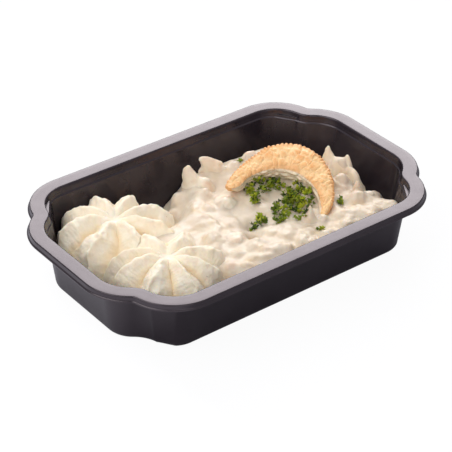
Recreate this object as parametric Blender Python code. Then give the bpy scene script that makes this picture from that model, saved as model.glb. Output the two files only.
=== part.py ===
"""A chilled meal in a black plastic tray: two piped rosettes of mashed potato, creamed chicken in white
sauce, a puff pastry crescent and chopped curly parsley.

Row frame: metres, +Z up, origin at the middle of the tray's underside, long sides along X.
The mash lies at -X, the chicken at +X.
"""

import math
import random

import bmesh
import bpy
import numpy as np
from mathutils import Matrix, Vector

MM = 0.001
GAP = 0.35 * MM  # clearance between touching pieces

# Tray: plan sizes are measured to the flange's top outer edge, and the lip flares a little past it
TRAY_HEIGHT = 38.0 * MM
FLANGE_HALF = (112.5 * MM, 72.5 * MM)
LONG_LOBE_CENTRE = (70.1 * MM, 43.3 * MM)  # round end of each long side
SHORT_LOBE_CENTRE = (82.4 * MM, 23.0 * MM)  # round end of each short side
NOTCH_RADIUS = 5.0 * MM  # hollow fillet between the two lobes of a corner
FLANGE_WIDTH = 8.2 * MM
WALL = 0.9 * MM
BASE_INSET = 17.6 * MM  # from the flange's edge to where the flat floor starts
BASE_FILLET = 4.5 * MM
SHELF_HEIGHT = 33.4 * MM  # small stacking step that runs round the wall
LUG_HEIGHT = 35.0 * MM  # flat top of the stacking lug in each long-side lobe
LUG_ARC = (12.0, 56.0)  # part of the lobe that the lug cuts straight, in degrees
WALL_DRAFT = 7.5  # degrees that the walls lean outwards
ARC_STEPS = (5, 4, 6)  # faces along a corner's short lobe, notch and long lobe
INNER_RINGS = 7  # rings of the tray's profile that make its inner wall

# Mash rosettes, piped through a star nozzle
MASH_RADIUS = 35.5 * MM
MASH_HEIGHT = 32.5 * MM
MASH_FRONT = (-56.0 * MM, -18.0 * MM)
MASH_REAR = (-57.5 * MM, 29.5 * MM)
MASH_FRONT_LOBES = (25, 88, 134, 166, 216, 265, 303, 339)  # direction of each lobe's crest, in degrees
MASH_REAR_LOBES = (35, 80, 119, 153, 211, 270, 313, 352)
MASH_RINGS = (0.1, 0.2, 0.34, 0.5, 0.66, 0.8, 0.9, 0.96, 0.99, 1.0)  # shares of the radius
CREASE_DEPTH = 6.5 * MM  # of the creases between the lobes
CREASE_REACH = 0.87  # share of the radius that a crease gets to
CREST_SHAPE = 1.7  # power of the fall from a crest to a crease: the higher, the rounder the crest
MIDDLE_SINK = 0.1  # how far the middle is sunk, as a share of the height

# Creamed chicken: a heap that falls away at the far wall, the right end and behind the mash
SAUCE_LEVEL = 23.5 * MM
SAUCE_STEP = 5.0 * MM  # grid pitch of the heap's surface
SAUCE_BOX = ((-50 * MM, 106 * MM), (-68 * MM, 68 * MM))  # X and Y that the grid covers
SAUCE_WAVE_HEIGHT = 1.6 * MM
# Slanted waves of the surface: length in mm, direction in degrees, shift in radians, share of the height
SAUCE_WAVES = ((31, 20, 0.4, 0.4), (23, 105, 1.9, 0.3), (17, 62, 4.1, 0.3), (12.5, 150, 2.7, 0.2))
HILL_FALL = 1.6  # how fast a hill falls off over its radius
PASTRY_SINK = 1.2 * MM  # how far the pastry is pressed into the sauce

# Puff pastry crescent: a fluted round with a round bite cut out of it
PASTRY_RADIUS = 31.2 * MM
# Waves that make the rim untrue: how many go round, depth in mm, direction of a peak in degrees
PASTRY_SWELL = ((1, 1.77, -135.6), (2, 1.90, 46.9), (3, 1.58, -42.1))
PASTRY_ENDS = (-116.0, 109.5)  # from the middle of the crescent to its blunt ends, in degrees
BITE_RADIUS = 24.4 * MM
BITE_SHIFT = 12.74 * MM
PASTRY_THICKNESS = 9.0 * MM
PASTRY_CENTRE = (34.2 * MM, -6.9 * MM, 33.6 * MM)  # middle of the round's top face
PASTRY_TILT = 22.0  # the top face leans this many degrees towards the near left corner
PASTRY_LEAN = -38.15  # compass direction that it leans in, in degrees from -Y
PASTRY_BITE_TURN = -106.5  # direction of the bite in the round's own plane, in degrees
PASTRY_SECTIONS = 46
FLUTE_DEPTH = 0.5 * MM
END_THICKNESS = 0.5  # share of the full thickness that is left at the ends
# Section of the crescent: share of the width from the inner edge, share of the thickness from the underside
PASTRY_SECTION = (
    (0.0, 0.0),
    (0.0, 0.85),
    (0.2, 1.0),
    (0.55, 1.04),
    (0.92, 1.0),
    (1.0, 0.8),
    (0.93, 0.0),
)
END_ROUNDING = 16.0  # the higher, the shorter the stretch in which the ends round off
END_WIDTH = 0.4  # share of the width that is left at the very ends

# Chopped parsley
LEAFLET = 2.2 * MM  # how far a leaflet's tip stands up from the heap
LEAFLET_THICKNESS = 0.5 * MM
PARSLEY_RINGS = (0.38, 0.72, 1.0)  # shares of a heap's half size
TIP_SHARE = 0.55  # how many of the spots are tips
PARSLEY_CLEARANCE = 1.3 * GAP


def material(name, colour, roughness, metallic=0.0):
    """A plain Principled finish."""
    made = bpy.data.materials.new(name)
    made.use_nodes = True
    shader = made.node_tree.nodes["Principled BSDF"]
    shader.inputs["Base Color"].default_value = (*colour, 1.0)
    shader.inputs["Roughness"].default_value = roughness
    shader.inputs["Metallic"].default_value = metallic
    return made


def piece(name, points, faces, finish=None, sharp_angle=50.0):
    """A named mesh object with its finish, shaded smooth up to the sharp angle."""
    mesh = bpy.data.meshes.new(name)
    mesh.from_pydata([tuple(p) for p in points], [], [tuple(f) for f in faces])
    mesh.validate()
    obj = bpy.data.objects.new(name, mesh)
    bpy.context.scene.collection.objects.link(obj)
    if finish:
        mesh.materials.append(finish)
    mesh.shade_smooth()
    mesh.set_sharp_from_angle(angle=math.radians(sharp_angle))
    return obj


def hidden(obj):
    """Marks a cutter, which the build leaves out."""
    obj.hide_render = True
    obj.display_type = "WIRE"
    return obj


def boolean(obj, other, operation, solver="EXACT"):
    """Applies a Boolean of obj with another object."""
    modifier = obj.modifiers.new("cut", "BOOLEAN")
    modifier.operation = operation
    modifier.solver = solver
    modifier.object = other
    settle(obj)


def settle(obj):
    """Swaps the mesh for the evaluated one and drops the modifiers."""
    bpy.context.view_layer.update()
    graph = bpy.context.evaluated_depsgraph_get()
    mesh = bpy.data.meshes.new_from_object(obj.evaluated_get(graph))
    obj.modifiers.clear()
    obj.data = mesh


def discard(*objects):
    """Removes cutters that have done their work."""
    for obj in objects:
        bpy.data.objects.remove(obj)


def smoothstep(low, high, value):
    """0 at low and beyond, 1 at high and beyond, an S curve between; high may be the smaller."""
    share = np.clip((value - low) / (high - low), 0.0, 1.0)
    return share * share * (3.0 - 2.0 * share)


def ring_faces(rings, count):
    """Quads between rings of count points each."""
    faces = []
    for ring in range(rings - 1):
        above = (ring + 1) * count
        for i in range(count):
            j = (i + 1) % count
            faces.append((ring * count + i, ring * count + j, above + j, above + i))
    return faces


# Tray outline: every ring round the tray is an offset of one outline, so its arcs share their centres


def corner_arcs(offset):
    """(centre, radius, first angle, last angle) of the three arcs of the +X +Y corner, an offset inwards."""
    long_c = Vector(LONG_LOBE_CENTRE)
    short_c = Vector(SHORT_LOBE_CENTRE)
    long_r = FLANGE_HALF[1] - long_c.y
    short_r = FLANGE_HALF[0] - short_c.x
    reach_long = long_r + NOTCH_RADIUS
    reach_short = short_r + NOTCH_RADIUS
    across = long_c - short_c
    distance = across.length
    along = (distance**2 + reach_short**2 - reach_long**2) / (2 * distance)
    unit = across / distance
    outward = Vector((unit.y, -unit.x))
    notch_c = short_c + unit * along + outward * math.sqrt(reach_short**2 - along**2)
    to_short = math.atan2(notch_c.y - short_c.y, notch_c.x - short_c.x)
    to_long = math.atan2(notch_c.y - long_c.y, notch_c.x - long_c.x)
    return (
        (short_c, short_r - offset, 0.0, to_short),
        (notch_c, NOTCH_RADIUS + offset, to_short + math.pi, to_long + math.pi),
        (long_c, long_r - offset, to_long, math.pi / 2),
    )


def outline(offset, lug=0.0):
    """Points round the tray, counterclockwise. lug from 0 to 1 flattens the lug's arc to its chord."""
    quarter = [Vector((FLANGE_HALF[0] - offset, 0.0))]
    for number, (centre, radius, first, last) in enumerate(corner_arcs(offset)):
        steps = ARC_STEPS[number]
        for step in range(steps + 1):
            if number and not step:
                continue
            angle = first + (last - first) * step / steps
            point = centre + radius * Vector((math.cos(angle), math.sin(angle)))
            if number == 2 and lug:
                point = flattened(point, centre, radius, angle, lug)
            quarter.append(point)
    quarter.append(Vector((0.0, FLANGE_HALF[1] - offset)))
    points = list(quarter)
    points += [Vector((-p.x, p.y)) for p in reversed(quarter[:-1])]
    points += [Vector((-p.x, -p.y)) for p in quarter[1:]]
    points += [Vector((p.x, -p.y)) for p in reversed(quarter[1:-1])]
    return points


def flattened(point, centre, radius, angle, lug):
    """A point of the lobe's arc moved towards the chord that the stacking lug cuts."""
    first, last = (math.radians(a) for a in LUG_ARC)
    if not first < angle < last:
        return point
    middle, half = (first + last) / 2, (last - first) / 2
    chord = radius * math.cos(half)
    direction = Vector((math.cos(middle), math.sin(middle)))
    depth = (point - centre).dot(direction) - chord
    return point - direction * depth * lug


def fillet_profile(radius):
    """(inset, height) points of the fillet between wall and floor, from the wall down."""
    points = []
    for step in range(3):
        angle = math.radians(WALL_DRAFT + (90.0 - WALL_DRAFT) * step / 2)
        inset = BASE_INSET - radius * math.cos(angle)
        points.append((inset, BASE_FILLET - radius * math.sin(angle)))
    return points


def tray_profile():
    """(inset from the flange's edge, height, lug) round the wall's section.

    It runs up the outer skin, round the lip, and down the inner skin. lug is 1 where the stacking lug shows.
    """
    top = TRAY_HEIGHT
    under = top - WALL
    outer = [(i, h, 1.0) for i, h in reversed(fillet_profile(BASE_FILLET))]
    outer += [(9.6 * MM, SHELF_HEIGHT - 0.9 * MM, 1.0), (8.9 * MM, SHELF_HEIGHT, 0.0)]
    outer += [(8.4 * MM, under, 0.0)]
    lip = [
        (0.9 * MM, under, 0.0),
        (0.4 * MM, top - 2.6 * MM, 0.0),
        (-0.1 * MM, top - 3.6 * MM, 0.0),
        (-1.0 * MM, top - 3.6 * MM, 0.0),
        (-1.0 * MM, top - 2.9 * MM, 0.0),
        (-0.4 * MM, top - 2.5 * MM, 0.0),
        (0.0, top - 0.5 * MM, 0.0),
        (0.4 * MM, top, 0.0),
    ]
    rim = [(FLANGE_WIDTH, top, 0.0), (FLANGE_WIDTH + 0.7 * MM, top - 0.4 * MM, 0.0)]
    inner = [
        (9.4 * MM, LUG_HEIGHT, 0.0),
        (9.5 * MM, LUG_HEIGHT - 0.2 * MM, 1.0),
        (9.8 * MM, SHELF_HEIGHT, 1.0),
        (10.5 * MM, SHELF_HEIGHT - 0.7 * MM, 1.0),
    ]
    inner += [(i, h, 1.0) for i, h in fillet_profile(BASE_FILLET - WALL)]
    return outer + lip + rim + inner


def tray(finish):
    """The tray: one closed skin from the profile's rings, capped by the flat floor and underside."""
    points, profile = [], tray_profile()
    for inset, height, lug in profile:
        points += [(p.x, p.y, height) for p in outline(inset, lug)]
    count = len(points) // len(profile)
    faces = ring_faces(len(profile), count)
    faces.append(tuple(reversed(range(count))))
    faces.append(tuple(range(len(points) - count, len(points))))
    obj = piece("tray", points, faces, finish, 35.0)
    triangulate(obj)
    return obj


def cavity():
    """The tray's inside, kept a gap clear of its walls and floor, as a cutter for the food."""
    heights = [(p[0] + GAP, p[1] + GAP * (p[1] < BASE_FILLET), p[2]) for p in tray_profile()[-INNER_RINGS:]]
    heights = [(heights[0][0], 2 * TRAY_HEIGHT, 1.0)] + heights
    points = []
    for inset, height, lug in reversed(heights):
        points += [(p.x, p.y, height) for p in outline(inset, 1.0)]
    count = len(points) // len(heights)
    faces = ring_faces(len(heights), count)
    faces.append(tuple(reversed(range(count))))
    faces.append(tuple(range(len(points) - count, len(points))))
    return hidden(piece("cavity", points, faces))


def triangulate(obj):
    """Cuts every face into triangles."""
    shape = bmesh.new()
    shape.from_mesh(obj.data)
    bmesh.ops.triangulate(shape, faces=shape.faces)
    shape.to_mesh(obj.data)
    shape.free()


# Mash


def rosette_columns(crests):
    """(angle, ridge, reach) of each column round a rosette whose lobes have their crests in these directions.

    ridge is 0 in the creases, which lie midway between the crests, and 1 on the crests. reach is the share of
    the radius that the column gets to.
    """
    columns, steps = [], 3
    for n, crest in enumerate(crests):
        before, after = (crest - crests[n - 1]) % 360, (crests[(n + 1) % len(crests)] - crest) % 360
        spans = [(-before / 2, step / steps) for step in range(steps, 0, -1)]
        spans += [(after / 2, step / steps) for step in range(steps)]
        for half, away in spans:
            ridge = 1.0 - away**CREST_SHAPE
            reach = CREASE_REACH + (1.0 - CREASE_REACH) * ridge
            columns.append((math.radians(crest + half * away), ridge, reach))
    return columns


def rosette_height(share, ridge):
    """Height over the floor at a share of the reach: a dome with a sunken middle and creases."""
    dome = math.sqrt(max(0.0, 1.0 - share**4))
    middle = MIDDLE_SINK * (1.0 - float(smoothstep(0.0, 0.35, share)))
    crease = float(smoothstep(0.02, 0.45, share)) * (1.0 - ridge) * CREASE_DEPTH
    return max(0.0, (MASH_HEIGHT - WALL - crease) * dome - middle * MASH_HEIGHT)


def rosette(name, centre, crests, finish=None, grow=0.0):
    """A piped rosette: rings of points from the middle of the top down to a flat foot."""
    columns = rosette_columns(crests)
    count, floor = len(columns), WALL + GAP - grow
    points = [(*centre, floor + grow * 2 + rosette_height(0.0, 1.0))]
    for share in MASH_RINGS:
        for angle, ridge, reach in columns:
            radius = MASH_RADIUS * reach * share + grow * min(1.0, 3 * share)
            height = rosette_height(share, ridge) if share < 1.0 else -2 * grow
            x = centre[0] + radius * math.cos(angle)
            y = centre[1] + radius * math.sin(angle)
            points.append((x, y, floor + grow * 2 + height))
    faces = [(0, 1 + i, 1 + (i + 1) % count) for i in range(count)]
    for a, b, c, d in ring_faces(len(MASH_RINGS), count):
        faces.append((a + 1, d + 1, c + 1, b + 1))
    foot = len(points)
    points.append((*centre, floor))
    last = 1 + (len(MASH_RINGS) - 1) * count
    for i in range(count):
        faces.append((foot, last + (i + 1) % count, last + i))
    return piece(name, points, faces, finish)


# Creamed chicken

# Chicken pieces that stand out of the sauce: middle (x, y, z), length, width, height in mm, turn and tilt in
# degrees, and how much narrower the top is than the foot
CHICKEN_PIECES = {
    "chicken_piece_tall": ((7, 42, 18.5), (13, 12, 25), -38, -4, 0.35),
    "chicken_piece_curl": ((26, 44.5, 18.5), (20, 9, 22), 142, 0, 0.3),
    "chicken_piece_left": ((6, 11.5, 20), (18, 17, 17), 20, 8, 0.15),
    "chicken_piece_near": ((-12, -18, 18), (19, 15, 14), -25, -6, 0.2),
    "chicken_piece_point": ((39, -33, 19), (17, 15, 21), 55, 12, 0.7),
    "chicken_piece_back": ((47, 42, 20), (21, 13, 21), -20, 10, 0.5),
    "chicken_piece_right": ((84, 3, 18), (29, 13, 26), 98, -8, 0.42),
    "chicken_piece_end": ((75, -25, 18.5), (20, 15, 20), -35, -10, 0.55),
}

DENTS = 9
DENT_DEPTH = (-0.2, 0.16)  # range of a dent's depth, as a share of the size

# Low hills of the sauce over smaller pieces: (x, y), radius, rise in mm
SAUCE_HILLS = (
    ((24, -8), 13, 2.2),
    ((8, -38), 14, 1.8),
    ((62, -46), 13, 2.0),
    ((30, 24), 12, 1.0),
    ((14, 32), 12, -4.5),
    ((66, 30), 15, 2.6),
    ((-6, 30), 9, 1.5),
    ((84, -44), 9, 2.0),
    ((60, -8), 8, 2.5),
    ((86, -8), 9, 3.0),
    ((38, 6), 10, 4.5),
    ((47, -14), 8, 4.0),
    ((17, 8), 8, 2.5),
    ((-14, 6), 10, 2.0),
    ((18, -28), 8, 2.2),
    ((-6, -44), 9, 1.8),
)


def lumps(x, y):
    """Smooth uneven rise and fall of the sauce, a sum of slanted waves, between about -1 and 1."""
    total = np.zeros_like(x)
    for length, turn, shift, share in SAUCE_WAVES:
        a = math.radians(turn)
        along = (x * math.cos(a) + y * math.sin(a)) / (length * MM)
        total += share * np.sin(2 * math.pi * along + shift)
    return total


def pastry_frame():
    """(middle, right, up-slope, normal) of the pastry's top face; it leans towards the near left corner."""
    lean, turn = math.radians(PASTRY_TILT), math.radians(PASTRY_LEAN)
    normal = Vector(
        (math.sin(lean) * math.sin(turn), -math.sin(lean) * math.cos(turn), math.cos(lean))
    )
    right = Vector((math.cos(turn), math.sin(turn), 0.0))
    right = (right - normal * right.dot(normal)).normalized()
    return Vector(PASTRY_CENTRE), right, normal.cross(right), normal


def sauce_height(x, y):
    """Height of the sauce's surface at x, y, as arrays in metres.

    The level falls off towards the far wall, the right end, the space behind the mash and the near left
    corner. Hills rise over the smaller pieces, and a bed rises to the underside of the pastry.
    """
    far = 1.0 - 0.45 * smoothstep(44 * MM, 63 * MM, y)
    end = 1.0 - 0.85 * smoothstep(70 * MM, 99 * MM, x + 0.18 * y)
    behind = smoothstep(-26 * MM, 4 * MM, x - 0.55 * (y - 30 * MM))
    behind = np.where(y > 10 * MM, behind, 1.0)
    behind = 1.0 - (1.0 - behind) * smoothstep(8 * MM, 34 * MM, y)
    corner = 1.0 - smoothstep(-22 * MM, -46 * MM, x) * smoothstep(-30 * MM, -44 * MM, y)
    height = SAUCE_LEVEL * far * end * behind * corner
    height = height + SAUCE_WAVE_HEIGHT * lumps(x, y) * behind * end
    for (hill_x, hill_y), radius, rise in SAUCE_HILLS:
        near = ((x - hill_x * MM) ** 2 + (y - hill_y * MM) ** 2) / (radius * MM) ** 2
        height = height + rise * MM * np.exp(-HILL_FALL * near)
    middle, right, up, normal = pastry_frame()
    under = middle - normal * (PASTRY_THICKNESS - PASTRY_SINK)
    seat = under.z - ((x - under.x) * normal.x + (y - under.y) * normal.y) / normal.z
    reach = np.hypot(x - under.x, y - under.y)
    bed = smoothstep(34 * MM, 25 * MM, reach) * smoothstep(9 * MM, 17 * MM, reach)
    return height + (np.maximum(seat, height) - height) * bed


def block(size, turn, tilt, taper, seed, grow=0.0):
    """Points and faces of a rough block: a cube's grid blown up to a rounded box, then dented."""
    shape = bmesh.new()
    bmesh.ops.create_cube(shape, size=2.0)
    bmesh.ops.subdivide_edges(shape, edges=shape.edges, cuts=2, use_grid_fill=True)
    draw = random.Random(seed)
    dents = []
    for _ in range(DENTS):
        direction = Vector([draw.gauss(0, 1) for _ in range(3)]).normalized()
        dents.append((direction, draw.uniform(*DENT_DEPTH)))
    turned = Matrix.Rotation(math.radians(turn), 3, "Z")
    turned = turned @ Matrix.Rotation(math.radians(tilt), 3, "Y")
    for vertex in shape.verts:
        unit = vertex.co.normalized()
        rounded = vertex.co.lerp(unit * 1.25, 0.62)
        factor = 1.0 + sum(depth * max(0.0, unit.dot(d)) ** 5 for d, depth in dents)
        at = Vector([rounded[i] * factor * size[i] * MM / 2 for i in range(3)])
        narrow = 1.0 - taper * smoothstep(-1.0, 1.0, rounded[2])
        at = Vector((at.x * narrow, at.y * narrow, at.z))
        vertex.co = turned @ (at + at.normalized() * grow)
    bmesh.ops.triangulate(shape, faces=shape.faces)
    shape.verts.index_update()
    points = [vertex.co.copy() for vertex in shape.verts]
    faces = [tuple(v.index for v in face.verts) for face in shape.faces]
    shape.free()
    return points, faces


def chicken_piece(name, finish=None, grow=0.0):
    """One chicken piece in place; without a finish it is a cutter."""
    middle, size, turn, tilt, taper = CHICKEN_PIECES[name]
    points, faces = block(size, turn, tilt, taper, sum(map(ord, name)), grow)
    centre = Vector(middle) * MM
    return piece(name if finish else name + "_cutter", [p + centre for p in points], faces, finish)


def sauce_block():
    """The heap before it is fitted to the tray: a grid at the sauce's height over a flat bottom."""
    (x0, x1), (y0, y1) = SAUCE_BOX
    columns = round((x1 - x0) / SAUCE_STEP) + 1
    rows = round((y1 - y0) / SAUCE_STEP) + 1
    grid_x, grid_y = np.meshgrid(np.linspace(x0, x1, columns), np.linspace(y0, y1, rows))
    height = np.maximum(sauce_height(grid_x, grid_y), -2 * MM)
    top = np.stack([grid_x, grid_y, height], -1).reshape(-1, 3)
    edge = [i for i in range(columns)]
    edge += [r * columns + columns - 1 for r in range(1, rows)]
    edge += [(rows - 1) * columns + i for i in range(columns - 2, -1, -1)]
    edge += [r * columns for r in range(rows - 2, 0, -1)]
    bottom = [(top[i][0], top[i][1], -6 * MM) for i in edge]
    faces = []
    for r in range(rows - 1):
        for c in range(columns - 1):
            a = r * columns + c
            faces += [(a, a + 1, a + columns + 1), (a, a + columns + 1, a + columns)]
    first = len(top)
    for n in range(len(edge)):
        m = (n + 1) % len(edge)
        faces.append((edge[m], edge[n], first + n, first + m))
    faces.append(tuple(first + n for n in reversed(range(len(edge)))))
    return piece("ragout", [tuple(p) for p in top] + bottom, faces)


def main_body(obj):
    """Keeps the largest loose body of a mesh and drops scraps."""
    shape = bmesh.new()
    shape.from_mesh(obj.data)
    left, groups = set(shape.verts), []
    while left:
        group, edge = set(), [left.pop()]
        while edge:
            vertex = edge.pop()
            group.add(vertex)
            for link in vertex.link_edges:
                other = link.other_vert(vertex)
                if other in left:
                    left.remove(other)
                    edge.append(other)
        groups.append(group)
    groups.sort(key=len)
    for group in groups[:-1]:
        bmesh.ops.delete(shape, geom=list(group), context="VERTS")
    bmesh.ops.triangulate(shape, faces=shape.faces)
    shape.to_mesh(obj.data)
    shape.free()


def finished(obj, finish):
    """Cleans up after Booleans: the main body alone, in one finish."""
    main_body(obj)
    obj.data.materials.clear()
    obj.data.materials.append(finish)
    return obj


def ragout(finish, cutters):
    """The creamed chicken: the heap cut to the tray's inside and clear of what stands in it."""
    obj = sauce_block()
    inside = cavity()
    boolean(obj, inside, "INTERSECT")
    for cutter in cutters:
        boolean(obj, cutter, "DIFFERENCE")
    discard(inside)
    return finished(obj, finish)


# Pastry


def pastry_width(turn):
    """(inner radius, outer radius) of the crescent at an angle round the disc's middle from its back."""
    toward = math.pi - turn
    inner = BITE_SHIFT * math.cos(toward)
    inner += math.sqrt(BITE_RADIUS**2 - (BITE_SHIFT * math.sin(toward)) ** 2)
    around = math.degrees(turn) + PASTRY_BITE_TURN + 180.0
    outer = PASTRY_RADIUS
    for order, depth, facing in PASTRY_SWELL:
        outer += depth * MM * math.cos(order * math.radians(around - facing))
    return inner, outer


def pastry(name, finish=None, grow=0.0, flute=FLUTE_DEPTH):
    """The crescent: sections along its arc with a domed top, a fluted outer and an upright inner side."""
    middle, right, up, normal = pastry_frame()
    back = math.radians(PASTRY_BITE_TURN) + math.pi
    first = math.radians(PASTRY_ENDS[0]) - grow / PASTRY_RADIUS
    last = math.radians(PASTRY_ENDS[1]) + grow / PASTRY_RADIUS
    points = []
    for n in range(PASTRY_SECTIONS + 1):
        share = n / PASTRY_SECTIONS
        turn = first + (last - first) * share
        inner, outer = pastry_width(turn)
        outer += flute * (-1) ** n
        from_end = 1.0 - abs(2.0 * share - 1.0)
        full = math.sqrt(1.0 - (1.0 - from_end) ** 4)
        thick = PASTRY_THICKNESS * (END_THICKNESS + (1.0 - END_THICKNESS) * full)
        inset = (1.0 - math.sqrt(min(1.0, from_end * END_ROUNDING + END_WIDTH**2))) / 2
        for across, rise in PASTRY_SECTION:
            own = inset + (1.0 - 2.0 * inset) * across
            radius = inner - grow + (outer - inner + 2 * grow) * own
            depth = (thick + 2 * grow) * (rise - 1.0) + grow
            at = (right * math.cos(back + turn) + up * math.sin(back + turn)) * radius
            points.append(middle + at + normal * depth)
    count = len(PASTRY_SECTION)
    faces = ring_faces(PASTRY_SECTIONS + 1, count)
    faces.append(tuple(reversed(range(count))))
    faces.append(tuple(range(len(points) - count, len(points))))
    return piece(name, points, faces, finish)


# Parsley

# Heaps of small curled leaflets on the sauce: middle (x, y), half sizes in mm, turn in degrees, and how many
# leaflet tips stand round each ring
PARSLEY_CLUMPS = {
    "parsley_clump_left": ((30.7, 8.4), (11.5, 6.5), -30, 13),
    "parsley_clump_right": ((40.2, -12.0), (8.0, 10.5), -38, 14),
    "parsley_sprig": ((23.5, -17.5), (3.4, 10.5), -38, 9),
    "parsley_bit_left": ((19.5, 0.5), (3.2, 4.2), -38, 7),
    "parsley_bit_front": ((9.8, -15.4), (4.8, 4.0), 0, 8),
    "parsley_bit_near": ((31.7, -28.8), (2.8, 2.8), 10, 7),
    "parsley_bit_outer": ((59, -29.5), (2.8, 2.8), 30, 6),
}


def surface_height(cast, x, y):
    """Height where a ray straight down meets the given objects, or None."""
    best = None
    for obj in cast:
        hit, at, _, _ = obj.ray_cast(Vector((x, y, 0.2)), Vector((0, 0, -1)))
        if hit and (best is None or at.z > best):
            best = at.z
    return best


def parsley_spots(name):
    """(x, y, rise) of spots in rings over the heap: leaflet tips, and the hollows between them."""
    (cx, cy), (half_x, half_y), turn, tips = PARSLEY_CLUMPS[name]
    draw, turned = random.Random(name), math.radians(turn)
    spots = [(cx * MM, cy * MM, LEAFLET)]
    for ring, share in enumerate(PARSLEY_RINGS):
        for i in range(2 * tips):
            angle = math.pi * (i + 0.5 * ring + draw.uniform(-0.35, 0.35)) / tips
            tip = draw.random() < TIP_SHARE
            reach = share * (draw.uniform(0.95, 1.12) if tip else draw.uniform(0.8, 0.92))
            px = reach * math.cos(angle) * half_x * MM
            py = reach * math.sin(angle) * half_y * MM
            x = cx * MM + px * math.cos(turned) - py * math.sin(turned)
            y = cy * MM + px * math.sin(turned) + py * math.cos(turned)
            rise = LEAFLET * (draw.uniform(0.5, 1.3) if tip else 0.1) * (1.0 if share < 1.0 else 0.25)
            spots.append((x, y, rise + (1.0 - share**2) * 0.25 * min(half_x, half_y) * MM))
    return spots, 2 * tips


def parsley(name, finish, cast, cutter):
    """One heap of parsley: a frilled mound clear of the surface it lies on, trimmed clear of the pastry."""
    spots, count = parsley_spots(name)
    low, high = [], []
    for x, y, rise in spots:
        around = [(0.0, 0.0), (1.2, 0.0), (-1.2, 0.0), (0.0, 1.2), (0.0, -1.2)]
        ground = max(surface_height(cast, x + dx * MM, y + dy * MM) or 0.0 for dx, dy in around)
        low.append(Vector((x, y, ground + PARSLEY_CLEARANCE)))
        high.append(low[-1] + Vector((0.0, 0.0, LEAFLET_THICKNESS + rise)))
    top, faces = len(low), []
    for i in range(count):
        j = (i + 1) % count
        faces += [(0, 1 + j, 1 + i), (top, top + 1 + i, top + 1 + j)]
    for a, b, c, d in ring_faces(len(PARSLEY_RINGS), count):
        low_face = (a + 1, b + 1, c + 1, d + 1)
        faces += [low_face, tuple(top + n for n in reversed(low_face))]
    for i in range(count):
        c, d = 1 + 2 * count + (i + 1) % count, 1 + 2 * count + i
        faces.append((d, c, top + c, top + d))
    obj = piece(name, low + high, faces)
    triangulate(obj)
    boolean(obj, cutter, "DIFFERENCE", "MANIFOLD")
    return finished(obj, finish)


def build():
    """Makes every piece of the meal."""
    for obj in list(bpy.data.objects):
        bpy.data.objects.remove(obj)
    black = material("black_plastic", (0.022, 0.020, 0.024), 0.3)
    mash = material("mashed_potato", (0.86, 0.76, 0.50), 0.55)
    sauce = material("white_sauce", (0.84, 0.74, 0.58), 0.4)
    chicken = material("sauced_chicken", (0.80, 0.66, 0.52), 0.45)
    crust = material("golden_pastry", (0.85, 0.47, 0.16), 0.5)
    green = material("parsley_leaf", (0.08, 0.20, 0.02), 0.5)

    tray(black)
    front = rosette("mash_rosette_front", MASH_FRONT, MASH_FRONT_LOBES, mash)
    front_cut = hidden(rosette("front_cutter", MASH_FRONT, MASH_FRONT_LOBES, grow=GAP))
    rear = rosette("mash_rosette_rear", MASH_REAR, MASH_REAR_LOBES, mash)
    rear_cut = hidden(rosette("rear_cutter", MASH_REAR, MASH_REAR_LOBES, grow=GAP))
    boolean(rear, front_cut, "DIFFERENCE")
    inside = cavity()
    for mound in (front, rear):
        boolean(mound, inside, "INTERSECT")
        finished(mound, mash)
    discard(inside)

    crust_cut = hidden(pastry("pastry_cutter", None, GAP + FLUTE_DEPTH / 2, flute=0.0))
    pastry("pastry_crescent", crust)
    pieces, cutters = [], []
    for name in CHICKEN_PIECES:
        chunk = chicken_piece(name, chicken)
        boolean(chunk, crust_cut, "DIFFERENCE")
        pieces.append(chunk)
        cutters.append(hidden(chicken_piece(name, grow=GAP)))
    heap = ragout(sauce, [front_cut, rear_cut, crust_cut, *cutters])
    bpy.context.view_layer.update()
    for name in PARSLEY_CLUMPS:
        parsley(name, green, [heap, *pieces], crust_cut)
    discard(front_cut, rear_cut, crust_cut, *cutters)


build()
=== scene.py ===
# %% [markdown]
# # A chilled meal in a black plastic tray
# Two piped rosettes of mashed potato, creamed chicken in a thick white sauce, a puff pastry crescent and
# chopped curly parsley, all in a moulded tray. The plain solids of the meal are loaded as a fixed frame, and
# each one is then replaced by a finer surface that keeps its form. Every surface here is worked out with
# numpy as whole arrays of points, so a shape is a formula that can be read and changed.

import math

import bpy
import numpy as np
from mathutils import Matrix, Vector


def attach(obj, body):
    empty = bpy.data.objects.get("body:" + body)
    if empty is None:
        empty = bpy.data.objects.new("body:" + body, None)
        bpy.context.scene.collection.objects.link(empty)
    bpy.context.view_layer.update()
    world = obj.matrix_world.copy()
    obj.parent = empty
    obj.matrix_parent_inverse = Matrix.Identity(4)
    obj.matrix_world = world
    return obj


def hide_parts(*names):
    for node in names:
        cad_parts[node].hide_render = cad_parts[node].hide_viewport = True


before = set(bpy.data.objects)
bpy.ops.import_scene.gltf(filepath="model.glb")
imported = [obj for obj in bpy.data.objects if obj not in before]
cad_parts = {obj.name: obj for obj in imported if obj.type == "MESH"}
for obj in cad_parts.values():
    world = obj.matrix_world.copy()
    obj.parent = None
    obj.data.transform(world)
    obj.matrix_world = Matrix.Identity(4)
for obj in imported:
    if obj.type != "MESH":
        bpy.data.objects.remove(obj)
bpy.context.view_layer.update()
MM = 0.001
print("frame loaded with", len(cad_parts), "nodes")

# %% [markdown]
# ## Tools for every piece
# A piece is an array of points and one or more arrays of faces. Blender takes both in one go, which is far
# quicker than adding vertices one by one. Numbers that a material needs, such as how brown a crust is at each
# point, ride along as named attributes on the points.

# %% Make a mesh piece from arrays


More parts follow.
